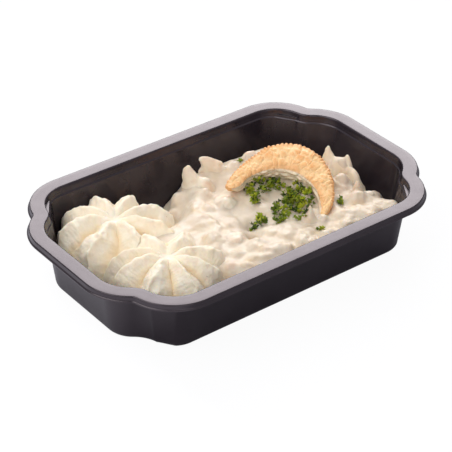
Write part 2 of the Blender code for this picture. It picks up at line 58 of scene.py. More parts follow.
def make_piece(name, points, faces, finish=None, slot=None, replaced=(), **values):
    """Turns arrays into a smooth mesh piece.

    points has one row (x, y, z) for each vertex. faces is a list of arrays whose rows are corner numbers.
    Each further named argument is one number for each vertex, kept as an attribute for the material.
    """
    mesh = bpy.data.meshes.new(name)
    corners = np.concatenate([f.ravel() for f in faces])
    sizes = np.concatenate([np.full(len(f), f.shape[1]) for f in faces])
    mesh.vertices.add(len(points))
    mesh.vertices.foreach_set("co", np.ascontiguousarray(points, np.float32).ravel())
    mesh.loops.add(len(corners))
    mesh.loops.foreach_set("vertex_index", corners.astype(np.int32))
    mesh.polygons.add(len(sizes))
    mesh.polygons.foreach_set("loop_start", (np.cumsum(sizes) - sizes).astype(np.int32))
    mesh.update(calc_edges=True)
    mesh.validate()
    mesh.shade_smooth()
    for label, numbers in values.items():
        layer = mesh.attributes.new(label, "FLOAT", "POINT")
        layer.data.foreach_set("value", np.ascontiguousarray(numbers, np.float32).ravel())
    piece = bpy.data.objects.new(name, mesh)
    bpy.context.scene.collection.objects.link(piece)
    if finish:
        dress(piece, finish, replaced)
    return piece


def dress(piece, finish, replaced=()):
    """Gives a piece its material and its place in the frame."""
    piece.data.materials.append(finish)
    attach(piece, "root")
    if replaced:
        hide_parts(*replaced)
    print(piece.name, len(piece.data.vertices), "points", len(piece.data.polygons), "faces")


def grid_faces(rows, columns, wrap_columns=True):
    """Corner numbers of the quads between the points of a grid stored row by row."""
    r = np.arange(rows - 1)[:, None]
    c = np.arange(columns if wrap_columns else columns - 1)[None, :]
    below, above = r * columns, (r + 1) * columns
    beside = (c + 1) % columns
    quads = np.stack([below + c, below + beside, above + beside, above + c], -1)
    return quads.reshape(-1, 4)


def fan(ring, centre, flip=False):
    """Triangles from a ring of point numbers to one middle point."""
    beside = np.roll(ring, -1)
    middle = np.full(len(ring), centre)
    rows = (beside, ring, middle) if flip else (ring, beside, middle)
    return np.stack(rows, -1)


def smoothstep(low, high, value):
    """0 at low and beyond, 1 at high and beyond, an S curve between."""
    share = np.clip((value - low) / (high - low), 0.0, 1.0)
    return share * share * (3.0 - 2.0 * share)


# %% [markdown]
# ## Unevenness
# Food is never smooth. Value noise gives a fixed random number to each corner of a grid of cubes and blends
# between them, so nearby points get like values. Adding finer and finer layers of it gives the look of a
# torn, lumpy or grainy surface. It is worked out here, and not in the shader, wherever it changes the shape.

# %% Noise for shapes


def corner_value(i, j, k, seed):
    """A fixed random value from -1 to 1 for each corner of the lattice, by mixing its whole numbers."""
    mixed = (i * 374761393 + j * 668265263 + k * 1440662683 + seed * 1274126177) & 0xFFFFFFFF
    mixed = ((mixed ^ (mixed >> 13)) * 1274126177) & 0xFFFFFFFF
    mixed = mixed ^ (mixed >> 16)
    return (mixed & 0xFFFF) / 32767.5 - 1.0


def noise(points, size, seed=0):
    """Value noise with cells of that size: the eight corner values round a point, blended by S curves."""
    scaled = np.asarray(points) / size
    cell = np.floor(scaled).astype(np.int64)
    f = scaled - cell
    f = f * f * (3.0 - 2.0 * f)
    total = np.zeros(scaled.shape[:-1])
    for a in (0, 1):
        for b in (0, 1):
            for c in (0, 1):
                weight = (f[..., 0] if a else 1 - f[..., 0]) * (f[..., 1] if b else 1 - f[..., 1])
                weight = weight * (f[..., 2] if c else 1 - f[..., 2])
                total += weight * corner_value(cell[..., 0] + a, cell[..., 1] + b, cell[..., 2] + c, seed)
    return total


def layered_noise(points, size, layers, seed=0):
    """Noise plus halves of it at twice the fineness, a few times over."""
    total, share = 0.0, 1.0
    for layer in range(layers):
        total = total + share * noise(points, size / 2**layer, seed + 17 * layer)
        share *= 0.5
    return total


def grid_normals(points, wrap=True):
    """Unit normals of a grid of points (rows, columns, 3), from the slopes along its rows and columns."""
    if wrap:
        along = np.roll(points, -1, 1) - np.roll(points, 1, 1)
    else:
        along = np.gradient(points, axis=1)
    across = np.gradient(points, axis=0)
    normal = np.cross(along, across)
    return normal / np.maximum(np.linalg.norm(normal, axis=-1, keepdims=True), 1e-12)


# %% [markdown]
# ## Node tools for the finishes
# The same few nodes come back in each material: noise on object coordinates, a colour ramp and a bump. Small
# helpers keep each material readable. What several materials share, a fine grain for moist food, is a node
# group with named inputs, so that each material sets its own values.

# %% Start a material and add nodes


def new_material(name):
    """A material with its Principled shader: returns (material, nodes, links, shader)."""
    made = bpy.data.materials.new(name)
    made.use_nodes = True
    tree = made.node_tree
    return made, tree.nodes, tree.links, tree.nodes["Principled BSDF"]


def object_noise(nodes, links, scale, detail=3.0, roughness=0.5, distortion=0.0):
    """A noise texture on object coordinates; scale is in cells per metre."""
    place = nodes.new("ShaderNodeTexCoord")
    made = nodes.new("ShaderNodeTexNoise")
    made.inputs["Scale"].default_value = scale
    made.inputs["Detail"].default_value = detail
    made.inputs["Roughness"].default_value = roughness
    made.inputs["Distortion"].default_value = distortion
    links.new(place.outputs["Object"], made.inputs["Vector"])
    return made


def ramp(nodes, links, source, stops):
    """A colour ramp of (place, colour) stops on a value."""
    made = nodes.new("ShaderNodeValToRGB")
    while len(made.color_ramp.elements) < len(stops):
        made.color_ramp.elements.new(0.5)
    for element, (place, colour) in zip(made.color_ramp.elements, stops):
        element.position = place
        element.color = (*colour, 1.0)
    links.new(source, made.inputs["Fac"])
    return made.outputs["Color"]


def mix(nodes, links, share, low, high):
    """A mix of two colours; share, low and high are sockets or plain values."""
    made = nodes.new("ShaderNodeMix")
    made.data_type = "RGBA"
    for socket, value in ((made.inputs[0], share), (made.inputs[6], low), (made.inputs[7], high)):
        if isinstance(value, bpy.types.NodeSocket):
            links.new(value, socket)
        elif isinstance(value, tuple):
            socket.default_value = (*value, 1.0)
        else:
            socket.default_value = value
    return made.outputs[2]


def spread(nodes, links, source, low, high, out_low=0.0, out_high=1.0):
    """A value's stretch from low to high spread over out_low to out_high."""
    made = nodes.new("ShaderNodeMapRange")
    made.inputs["From Min"].default_value = low
    made.inputs["From Max"].default_value = high
    made.inputs["To Min"].default_value = out_low
    made.inputs["To Max"].default_value = out_high
    links.new(source, made.inputs["Value"])
    return made.outputs["Result"]


def attribute(nodes, name):
    """The number that the mesh keeps for each point under this name."""
    made = nodes.new("ShaderNodeAttribute")
    made.attribute_name = name
    return made.outputs["Fac"]


# %% A shared grain for moist food


def moist_grain():
    """A node group: two sizes of noise summed to a bump normal, and a mask that varies the gloss."""
    tree = bpy.data.node_groups.new("moist_grain", "ShaderNodeTree")
    face = tree.interface
    for label, value in (("Coarse", 400.0), ("Fine", 2200.0), ("Depth", 0.0002), ("Strength", 0.5)):
        face.new_socket(label, in_out="INPUT", socket_type="NodeSocketFloat").default_value = value
    face.new_socket("Normal", in_out="OUTPUT", socket_type="NodeSocketVector")
    face.new_socket("Mask", in_out="OUTPUT", socket_type="NodeSocketFloat")
    nodes, links = tree.nodes, tree.links
    given, given_out = nodes.new("NodeGroupInput"), nodes.new("NodeGroupOutput")
    coarse = object_noise(nodes, links, 400.0, 3.0)
    fine = object_noise(nodes, links, 2200.0, 2.0)
    links.new(given.outputs["Coarse"], coarse.inputs["Scale"])
    links.new(given.outputs["Fine"], fine.inputs["Scale"])
    both = nodes.new("ShaderNodeMath")
    both.operation = "MULTIPLY_ADD"
    both.inputs[1].default_value = 0.35
    links.new(fine.outputs["Fac"], both.inputs[0])
    links.new(coarse.outputs["Fac"], both.inputs[2])
    bump = nodes.new("ShaderNodeBump")
    links.new(given.outputs["Strength"], bump.inputs["Strength"])
    links.new(given.outputs["Depth"], bump.inputs["Distance"])
    links.new(both.outputs[0], bump.inputs["Height"])
    links.new(bump.outputs["Normal"], given_out.inputs["Normal"])
    links.new(coarse.outputs["Fac"], given_out.inputs["Mask"])
    return tree


GRAIN = moist_grain()


def add_grain(nodes, links, shader, coarse, fine, depth, strength, gloss):
    """Places the grain in a material; gloss is the (smoothest, roughest) roughness."""
    made = nodes.new("ShaderNodeGroup")
    made.node_tree = GRAIN
    for label, value in (("Coarse", coarse), ("Fine", fine), ("Depth", depth), ("Strength", strength)):
        made.inputs[label].default_value = value
    links.new(made.outputs["Normal"], shader.inputs["Normal"])
    rough = spread(nodes, links, made.outputs["Mask"], 0.3, 0.7, *gloss)
    links.new(rough, shader.inputs["Roughness"])


def set_depth(shader, weight, radius, scale):
    """Lets light sink into the food; radius gives how far each colour goes, scale the distance in metres."""
    shader.inputs["Subsurface Weight"].default_value = weight
    shader.inputs["Subsurface Radius"].default_value = radius
    shader.inputs["Subsurface Scale"].default_value = scale


# %% [markdown]
# ## The tray
# The tray is one thin sheet of plastic, pressed over a mould, so it is made as a section carried round an
# outline. The outline has two round lobes at each corner with a notch between them. Every ring of the sweep
# is an offset of that one outline, and because offsets of arcs share their centres, the walls keep an even
# thickness. A small lug is pressed flat into each long-side lobe, so that empty trays come apart. It ends in
# a flat top just under the flange.

# %% The tray's outline
TRAY_HEIGHT = 38.0 * MM
FLANGE_HALF = (112.5 * MM, 72.5 * MM)
LONG_LOBE = (70.1 * MM, 43.3 * MM)  # middle of the round end of a long side
SHORT_LOBE = (82.4 * MM, 23.0 * MM)
LOBES = ((LONG_LOBE, FLANGE_HALF[1] - LONG_LOBE[1]), (SHORT_LOBE, FLANGE_HALF[0] - SHORT_LOBE[0]))
NOTCH_RADIUS = 5.0 * MM
WALL = 0.9 * MM
BASE_INSET = 17.6 * MM
BASE_FILLET = 4.5 * MM
LUG_ARC = (12.0, 56.0)  # part of the long-side lobe that the lug cuts straight, in degrees
WALL_DRAFT = 7.5  # degrees that the walls lean outwards


def corner_arcs(offset):
    """(centre, radius, first angle, last angle) of a corner's three arcs, an offset inwards of the edge."""
    long_c, short_c = np.array(LONG_LOBE), np.array(SHORT_LOBE)
    long_r, short_r = LOBES[0][1], LOBES[1][1]
    reach_long, reach_short = long_r + NOTCH_RADIUS, short_r + NOTCH_RADIUS
    across = long_c - short_c
    distance = np.hypot(*across)
    along = (distance**2 + reach_short**2 - reach_long**2) / (2 * distance)
    unit = across / distance
    outward = np.array((unit[1], -unit[0]))
    notch_c = short_c + unit * along + outward * math.sqrt(reach_short**2 - along**2)
    to_short = math.atan2(notch_c[1] - short_c[1], notch_c[0] - short_c[0])
    to_long = math.atan2(notch_c[1] - long_c[1], notch_c[0] - long_c[0])
    return (
        (short_c, short_r - offset, 0.0, to_short),
        (notch_c, NOTCH_RADIUS + offset, to_short + math.pi, to_long + math.pi),
        (long_c, long_r - offset, to_long, math.pi / 2),
    )


def outline(offset, lug=0.0, steps=(18, 14, 24), straight=14):
    """Points (n, 2) round the tray. lug from 0 to 1 moves the lug's arc onto its chord."""
    arcs = corner_arcs(offset)
    side = np.linspace(0.0, 1.0, straight)[:, None]
    first_y, last_x = arcs[0][0][1], arcs[2][0][0]
    parts = [np.hstack([np.full_like(side, FLANGE_HALF[0] - offset), side * first_y])]
    for number, ((centre, radius, first, last), count) in enumerate(zip(arcs, steps)):
        angle = np.linspace(first, last, count + 1)[1:]
        unit = np.stack([np.cos(angle), np.sin(angle)], -1)
        points = centre + radius * unit
        if number == 2 and lug:
            low, high = np.radians(LUG_ARC)
            facing = np.array((math.cos((low + high) / 2), math.sin((low + high) / 2)))
            past = (points - centre) @ facing - radius * math.cos((high - low) / 2)
            points = points - np.clip(past, 0.0, None)[:, None] * facing * lug
        parts.append(points)
    long_side = np.full_like(side[1:], FLANGE_HALF[1] - offset)
    parts.append(np.hstack([last_x * (1.0 - side[1:]), long_side]))
    quarter = np.vstack(parts)
    left = quarter[:-1][::-1] * (-1, 1)
    lower_left = quarter[1:] * (-1, -1)
    right = quarter[1:-1][::-1] * (1, -1)
    return np.vstack([quarter, left, lower_left, right])


print("outline of", len(outline(0.0)), "points")

# %% [markdown]
# The section runs up the outside of the wall, out under the flange, round the rolled lip and back down the
# inside. Each point is an inset from the flange's edge and a height. Tight curves take a few points each, so
# that the highlights along the lip stay thin and clean.

# %% The tray's section


def curve(start, corner, end, count):
    """Points of a curve from start to end that bends towards corner: the weighted middle of the three."""
    t = np.linspace(0.0, 1.0, count)[:, None]
    start, corner, end = (np.array(p) * MM for p in (start, corner, end))
    return (1 - t) ** 2 * start + 2 * t * (1 - t) * corner + t**2 * end


def base_curve(radius, count):
    """The fillet between wall and floor, an arc from the wall's slope to level."""
    angle = np.radians(np.linspace(WALL_DRAFT, 90.0, count))
    return np.stack([BASE_INSET - radius * np.cos(angle), BASE_FILLET - radius * np.sin(angle)], -1)


def tray_section():
    """(inset, height) rows round the section, and the lug's share at each."""
    outside = np.vstack([
        base_curve(BASE_FILLET, 9)[::-1],
        np.array([(12.4, 10.0), (11.3, 19.0), (10.2, 27.5)]) * MM,
        curve((9.65, 32.2), (9.55, 33.1), (8.9, 33.4), 5),
        curve((8.6, 36.0), (8.5, 37.1), (7.6, 37.1), 5),
        curve((1.6, 37.1), (0.9, 37.1), (0.7, 36.3), 5),
        curve((0.4, 35.4), (0.3, 34.4), (-0.3, 34.4), 4),
        curve((-0.7, 34.4), (-1.0, 34.4), (-1.0, 34.7), 4),
        curve((-1.0, 34.9), (-1.0, 35.2), (-0.6, 35.3), 4),
        curve((-0.45, 35.4), (-0.25, 35.6), (-0.22, 36.0), 4),
        curve((-0.05, 37.2), (0.0, 37.95), (0.7, 38.0), 7),
    ])
    inside = np.vstack([
        np.array([(3.0, 38.0), (6.0, 38.0)]) * MM,
        curve((7.7, 38.0), (8.7, 38.0), (8.95, 37.2), 7),
        curve((9.35, 35.2), (9.4, 35.0), (9.42, 34.95), 3),
        np.array([(9.43, 34.94), (9.45, 34.86), (9.46, 34.84)]) * MM,
        curve((9.5, 34.7), (9.7, 33.6), (9.9, 33.4), 4),
        curve((10.2, 33.2), (10.45, 33.1), (10.5, 32.6), 5),
        np.array([(11.1, 27.5), (12.2, 19.0), (13.3, 10.0)]) * MM,
        base_curve(BASE_FILLET - WALL, 10),
    ])
    lug_out = np.where(outside[:, 1] < 32.6 * MM, 1.0, 0.0)
    lug_in = np.interp(inside[:, 1], (34.85 * MM, 34.95 * MM), (1.0, 0.0))
    return np.vstack([outside, inside]), np.concatenate([lug_out, lug_in])


section, lug_share = tray_section()
print("section of", len(section), "points")

# %% [markdown]
# Black plastic is never a plain black. The moulding leaves a very fine grain that blurs the reflections, and
# the sheet's slight waviness bends them. Handling leaves faint scuffs, which show as duller patches.

# %% The black plastic


def black_plastic():
    """Near black with a mauve sheen, clouded gloss and a very fine grain."""
    made, nodes, links, shader = new_material("black_plastic")
    cloud = object_noise(nodes, links, 35.0, 4.0, 0.6)
    stops = [(0.3, (0.014, 0.0105, 0.014)), (0.7, (0.023, 0.018, 0.023))]
    tint = ramp(nodes, links, cloud.outputs["Fac"], stops)
    links.new(tint, shader.inputs["Base Color"])
    scuff = object_noise(nodes, links, 90.0, 6.0, 0.65, 0.6)
    rough = spread(nodes, links, scuff.outputs["Fac"], 0.35, 0.7, 0.16, 0.26)
    links.new(rough, shader.inputs["Roughness"])
    grain = object_noise(nodes, links, 2600.0, 2.0)
    wave = object_noise(nodes, links, 60.0, 2.0)
    both = nodes.new("ShaderNodeMath")
    both.operation = "MULTIPLY_ADD"
    both.inputs[1].default_value = 0.012
    links.new(grain.outputs["Fac"], both.inputs[0])
    links.new(wave.outputs["Fac"], both.inputs[2])
    bump = nodes.new("ShaderNodeBump")
    bump.inputs["Strength"].default_value = 0.35
    bump.inputs["Distance"].default_value = 0.0006
    links.new(both.outputs[0], bump.inputs["Height"])
    links.new(bump.outputs["Normal"], shader.inputs["Normal"])
    shader.inputs["IOR"].default_value = 1.55
    shader.inputs["Specular Tint"].default_value = (1.0, 0.88, 0.93, 1.0)
    return made


# %% Sweep the section round the outline


def make_tray():
    """The outline at each inset, lifted to each height; floor and underside are closed by fans."""
    count = len(outline(0.0))
    rings = []
    for (inset, height), lug in zip(section, lug_share):
        rings.append(np.column_stack([outline(inset, lug), np.full(count, height)]))
    points = np.vstack(rings + [[(0.0, 0.0, section[0][1])], [(0.0, 0.0, section[-1][1])]])
    faces = [grid_faces(len(rings), count)]
    last = (len(rings) - 1) * count + np.arange(count)
    under, floor = len(points) - 2, len(points) - 1
    fans = np.vstack([fan(np.arange(count), under, True), fan(last, floor)])
    return make_piece("moulded_tray", points, faces + [fans], black_plastic(), "black_plastic", ("tray",))


make_tray()

# %% [markdown]
# ## The mashed potato
# Each rosette is piped through a star nozzle, so it is a dome with creases that run in to a sunken middle.
# One surface in polar form makes it: the height falls with the distance from the middle, and drops into a
# crease between every two crests. The crests' directions are the same as in the solids. The mash tears a
# little where it leaves the nozzle, so the crests get a ragged edge and the flanks a soft waviness.

# %% Shape of a rosette
MASH_RADIUS = 35.5 * MM
MASH_HEIGHT = 32.5 * MM
MASH_FLOOR = 1.3 * MM
CREASE_DEPTH = 7.4 * MM
CREST_ROUNDING = 0.16  # how blunt a crest is, as a share of half a lobe
MIDDLE_SINK = 0.13  # how far the middle is sunk, as a share of the height
REACH = (0.87, 0.17)  # share of the radius that a crease gets to, and how much further a crest does
# Depths of the mash's relief
MASH_WAVES = 0.75 * MM
MASH_LUMPS = 0.24 * MM
MASH_TEARS = 0.75 * MM
MASH_RINGS = 0.03 * MM
MASH_GRAIN = 0.05 * MM
RING_STEP = 0.27 * MM  # the rings that the nozzle leaves follow each other at 2 pi times this
# For each rosette: its middle, the directions of its crests, where and how much the creases are filled, and
# directions and growth in mm of lobes that were piped longer
MASH = {
    "front": (
        (-56.0 * MM, -18.0 * MM), (25, 88, 134, 166, 216, 265, 303, 339), (60, 0.15), ((339, 1.0),),
    ),
    "rear": (
        (-57.5 * MM, 29.5 * MM), (35, 80, 119, 153, 211, 270, 313, 352), (95, 0.3),
        ((153, 2.0), (190, 3.0), (325, 4.5), (352, 1.5)),
    ),
}


def ridge_share(angle, crests, power=1.15):
    """1 on the crests and 0 in the creases midway between them, for angles in degrees.

    The lower the power, the sharper the crests.
    """
    crests = np.array(crests, float)
    before = np.array([(c - crests[n - 1]) % 360 for n, c in enumerate(crests)]) / 2
    after = np.roll(before, -1)
    away = (angle[..., None] - crests + 180.0) % 360.0 - 180.0
    share = np.where(away < 0, -away / before, away / after)
    nearest = np.clip(share.min(-1), 0.0, 1.0)
    rounded = np.sqrt(nearest**2 + CREST_ROUNDING**2) - CREST_ROUNDING
    rounded = rounded / (math.hypot(1, CREST_ROUNDING) - CREST_ROUNDING)
    return 1.0 - rounded**power


def rosette_surface(centre, crests, filled, longer, rows=150, columns=420):
    """Points (rows, columns, 3) and ridge shares: polar rows from the middle out, columns round.

    height = (full height - crease depth away from the crests) times a round dome, less a sunken middle.
    The rows lie closer together towards the foot, where the dome is steep.
    """
    share = (np.linspace(0.0, 1.0, rows) ** 0.8) * 0.985 + 0.015
    share = 1.0 - (1.0 - share) ** 1.5
    turn, share = np.meshgrid(np.linspace(0.0, 360.0, columns, endpoint=False), share)
    direction = np.stack([np.cos(np.radians(turn)), np.sin(np.radians(turn)), 0.0 * turn], -1)
    place = direction * share[..., None]
    wander = 5.0 * noise(place + centre[0] * 100, 0.5, 3) + 4.2 * noise(place + centre[0] * 90, 0.14, 4)
    ridge = ridge_share(turn + wander * share**0.5, crests, 1.2 - 0.5 * smoothstep(0.35, 0.95, share))
    full = filled[1] * np.clip(np.cos(np.radians(turn - filled[0])), 0.0, 1.0)
    ridge = 1.0 - (1.0 - ridge) * (1.0 - full)
    reach = REACH[0] + REACH[1] * ridge**1.5
    dome = np.sqrt(np.clip(1.0 - share**4, 0.0, 1.0))
    crease = smoothstep(0.02, 0.45, share) * (1.0 - ridge) * CREASE_DEPTH
    sunk = MIDDLE_SINK * MASH_HEIGHT * (1.0 - smoothstep(0.0, 0.3, share))
    height = MASH_FLOOR + np.clip((MASH_HEIGHT - WALL - crease) * dome - sunk, 0.0, None)
    grown = 0.0
    for heading, growth in longer:
        grown = grown + growth * MM * np.clip(np.cos(np.radians(turn - heading)), 0.0, 1.0) ** 8
    radius = (MASH_RADIUS * reach + grown) * share
    points = direction * radius[..., None] + (*centre, 0.0)
    points[..., 2] = height
    return points, ridge, share


def rough_mash(points, ridge, share):
    """Waves, torn crests and grain along the normals, fading out at the foot."""
    normal = grid_normals(points)
    soft = MASH_WAVES * noise(points, 9 * MM, 1) + MASH_LUMPS * layered_noise(points, 3.2 * MM, 2, 5)
    torn = smoothstep(0.65, 1.0, ridge) * smoothstep(0.15, 0.5, share)
    ragged = MASH_TEARS * torn * noise(points * (1, 1, 0.6), 2.6 * MM, 9)
    rings = share * MASH_RADIUS / RING_STEP + 2.5 * noise(points, 5 * MM, 13)
    drag = MASH_RINGS * np.sin(rings) * (1 - torn)
    grain = MASH_GRAIN * layered_noise(points, 0.9 * MM, 2, 11)
    move = (soft + ragged + drag + grain) * (1.0 - 0.7 * smoothstep(0.9, 1.0, share))
    return points + normal * move[..., None]


# %% [markdown]
# The rear rosette was pressed against the front one and both against the tray's wall. Points that would cross
# into the wall are drawn back to it, and the rear rosette's points are drawn out of the front one.

# %% Keep food inside the tray


def wall_inset(z):
    """Inset of the tray's inner wall at a height: straight between the section's inner points."""
    inner = section[len(section) // 2:]
    inner = inner[inner[:, 1] < 37.0 * MM]
    order = np.argsort(inner[:, 1])
    return np.interp(z, inner[order, 1], inner[order, 0])


def keep_inside(points, gap=0.5 * MM):
    """Pulls points back to a gap inside the wall. The tray is taken as two boxes with round corners.

    The distance to the flange's outline is the signed distance to a box with round corners, once for the long
    lobes and once for the short ones; the smaller excess counts.
    """
    limit = wall_inset(points[..., 2]) + gap
    x, y = np.abs(points[..., 0]), np.abs(points[..., 1])
    excess = []
    for centre, radius in LOBES:
        dx, dy = np.clip(x - centre[0], 0.0, None), np.clip(y - centre[1], 0.0, None)
        excess.append((np.hypot(dx, dy) - (radius - limit), dx, dy))
    out = np.minimum(excess[0][0], excess[1][0])
    first = excess[0][0] <= excess[1][0]
    dx, dy = (np.where(first, excess[0][n], excess[1][n]) for n in (1, 2))
    size = np.maximum(np.hypot(dx, dy), 1e-9)
    pull = np.clip(out, 0.0, None) / size
    moved = points.copy()
    moved[..., 0] -= np.sign(points[..., 0]) * dx * pull
    moved[..., 1] -= np.sign(points[..., 1]) * dy * pull
    return moved


# %% [markdown]
# Cooked potato is pale cream, lets a little light in and is moist. The creases get painted shade, a darker
# warm yellow. The hollow's depth comes with the points as an attribute.

# %% The mash's finish


def mashed_potato():
    """Pale cream in soft clouds, with darker, warmer painted shade by the hollow attribute, and a few dark
    specks of nutmeg.
    """
    made, nodes, links, shader = new_material("mashed_potato")
    cloud = object_noise(nodes, links, 160.0, 4.0, 0.6)
    pale = ramp(nodes, links, cloud.outputs["Fac"], [(0.3, (0.89, 0.78, 0.59)), (0.72, (0.93, 0.85, 0.70))])
    # Painted shade: the deeper the crease, the darker and warmer the cream.
    crease_shade = spread(nodes, links, attribute(nodes, "hollow"), 0.35, 1.0)
    crease_shaded = mix(nodes, links, crease_shade, pale, (0.83, 0.64, 0.38))
    speck = object_noise(nodes, links, 900.0, 1.0)
    dark = spread(nodes, links, speck.outputs["Fac"], 0.80, 0.84)
    links.new(mix(nodes, links, dark, crease_shaded, (0.25, 0.16, 0.08)), shader.inputs["Base Color"])
    set_depth(shader, 0.4, (1.0, 0.68, 0.42), 2.6 * MM)
    add_grain(nodes, links, shader, 650.0, 2400.0, 0.0004, 0.6, (0.42, 0.62))
    return made


def make_rosette(which, finish):
    """The polar surface, roughened and kept in the tray, with its middle and its foot closed by fans."""
    points, ridge, share = rosette_surface(*MASH[which])
    points = rough_mash(points, ridge, share)
    if which == "rear":
        points = clear_of_front(points)
    points = keep_inside(points)
    points[..., 2] = np.maximum(points[..., 2], MASH_FLOOR)
    points[-1, :, 2] = MASH_FLOOR
    rows, columns = ridge.shape
    flat = np.vstack([points.reshape(-1, 3), points[0].mean(0), points[-1].mean(0)])
    faces = [grid_faces(rows, columns)[:, ::-1]]
    last = (rows - 1) * columns + np.arange(columns)
    fans = np.vstack([fan(np.arange(columns), rows * columns), fan(last, rows * columns + 1, True)])
    # Depth of the creases, carried to the finish as painted shade.
    hollow = (1.0 - ridge) ** 1.5 * smoothstep(0.1, 0.5, share) * 0.9
    hollow = np.concatenate([hollow.ravel(), [0.2, 0.0]])
    name, node = "piped_mash_" + which, "mash_rosette_" + which
    return make_piece(name, flat, faces + [fans], finish, "mashed_potato", (node,), hollow=hollow)


def clear_of_front(points):
    """Draws points out of the front rosette, straight away from its axis."""
    centre, crests = MASH["front"][:2]
    offset = points[..., :2] - centre
    distance = np.hypot(offset[..., 0], offset[..., 1])
    ridge = ridge_share(np.degrees(np.arctan2(offset[..., 1], offset[..., 0])), crests)
    full = MASH_HEIGHT - WALL - (1 - ridge) * CREASE_DEPTH
    rise = np.clip((points[..., 2] - MASH_FLOOR) / full, 0.0, 1.0)
    edge = MASH_RADIUS * (0.88 + 0.14 * ridge) * (1.0 - rise**2) ** 0.25 - 0.8 * MM
    push = np.clip(edge - distance, 0.0, None)
    moved = points.copy()
    moved[..., :2] += offset / np.maximum(distance, 1e-9)[..., None] * push[..., None]
    return moved


mash_finish = mashed_potato()
for which in MASH:
    make_rosette(which, mash_finish)

# %% [markdown]
# ## The creamed chicken
# Chicken pieces lie in a thick sauce that coats them, so nothing in it has a sharp edge. That is easiest to
# say as a field: a number at every point of space, below zero inside the food. The sauce's field is the
# height above its surface. A piece of chicken has a field of its own, and a smooth minimum joins the two with
# a fillet, just as the sauce creeps up a piece. Where the field is zero lies the surface, and one point in
# each small cube that the surface crosses gives an even net of quads.
#
# The sauce's level has soft hills, and a few hollows, where the rise is below zero.

# %% The sauce's level
PASTRY_CENTRE = Vector((34.2, -6.9, 33.6)) * MM
PASTRY_TILT = 22.0  # degrees between the pastry's plane and the floor
PASTRY_LEAN = -38.15  # direction of the line about which it is tilted, in degrees
PASTRY_THICKNESS = 9.0 * MM
SAUCE_LEVEL = 23.5 * MM
# middle, radius and rise of each hill, in mm
SAUCE_HILLS = (
    ((24, -8), 13, 2.2), ((8, -38), 14, 1.8), ((62, -46), 13, 2.0), ((30, 24), 12, 1.0),
    ((66, 30), 15, 2.6), ((-6, 30), 9, 1.5), ((84, -44), 9, 2.0), ((60, -8), 8, 2.5),
    ((86, -8), 9, 3.0), ((-14, 6), 10, 2.0), ((18, -28), 8, 2.2), ((-6, -44), 9, 1.8),
    ((38, 6), 10, 4.5), ((47, -14), 8, 4.0), ((17, 8), 8, 2.5), ((14, 32), 12, -4.5),
    ((4.5, -14), 5, -4.5), ((-0.5, -22.5), 4.8, -7.5), ((-27, -34), 7, -2.0),
)


def pastry_frame():
    """(middle, right, up, normal) of the plane of the pastry's top."""
    tilt, lean = math.radians(PASTRY_TILT), math.radians(PASTRY_LEAN)
    normal = Vector((math.sin(tilt) * math.sin(lean), -math.sin(tilt) * math.cos(lean), math.cos(tilt)))
    right = Vector((math.cos(lean), math.sin(lean), 0.0))
    return PASTRY_CENTRE, right, normal.cross(right), normal


def sauce_height(x, y):
    """Height of the sauce: a level that falls off behind, at the right end and at the near left corner."""
    far = 1.0 - 0.45 * smoothstep(44 * MM, 63 * MM, y)
    end = 1.0 - 0.85 * smoothstep(70 * MM, 99 * MM, x + 0.18 * y)
    behind = np.where(y > 10 * MM, smoothstep(-26 * MM, 4 * MM, x - 0.55 * (y - 30 * MM)), 1.0)
    behind = 1.0 - (1.0 - behind) * smoothstep(8 * MM, 34 * MM, y)
    corner = 1.0 - smoothstep(-22 * MM, -46 * MM, x) * smoothstep(-30 * MM, -44 * MM, y)
    height = SAUCE_LEVEL * far * end * behind * corner
    for (hill_x, hill_y), radius, rise in SAUCE_HILLS:
        near = ((x - hill_x * MM) ** 2 + (y - hill_y * MM) ** 2) / (radius * MM) ** 2
        height = height + rise * MM * np.exp(-1.6 * near)
    middle, _, _, normal = pastry_frame()
    under = middle - normal * (PASTRY_THICKNESS - 1.2 * MM)
    seat = under.z - ((x - under.x) * normal.x + (y - under.y) * normal.y) / normal.z
    reach = np.hypot(x - under.x, y - under.y)
    bed = smoothstep(34 * MM, 25 * MM, reach) * smoothstep(9 * MM, 17 * MM, reach)
    return height + (np.maximum(seat, height) - height) * bed


# %% [markdown]
# A piece of chicken is made of rounded chunks, narrower towards the top, that lean over and are dented by
# noise. The big pieces are the same ones as in the solids. Smaller lumps and many small scraps lie just under
# the surface and only show as bumps. Each row of a big piece holds a chunk's middle, its half sizes, its turn
# round the vertical, its tilt, its taper, a lean that bends the top over, and a power that says how square it
# is: 2 for an egg, less for a pointed shape. Sizes are in millimetres and angles in degrees.

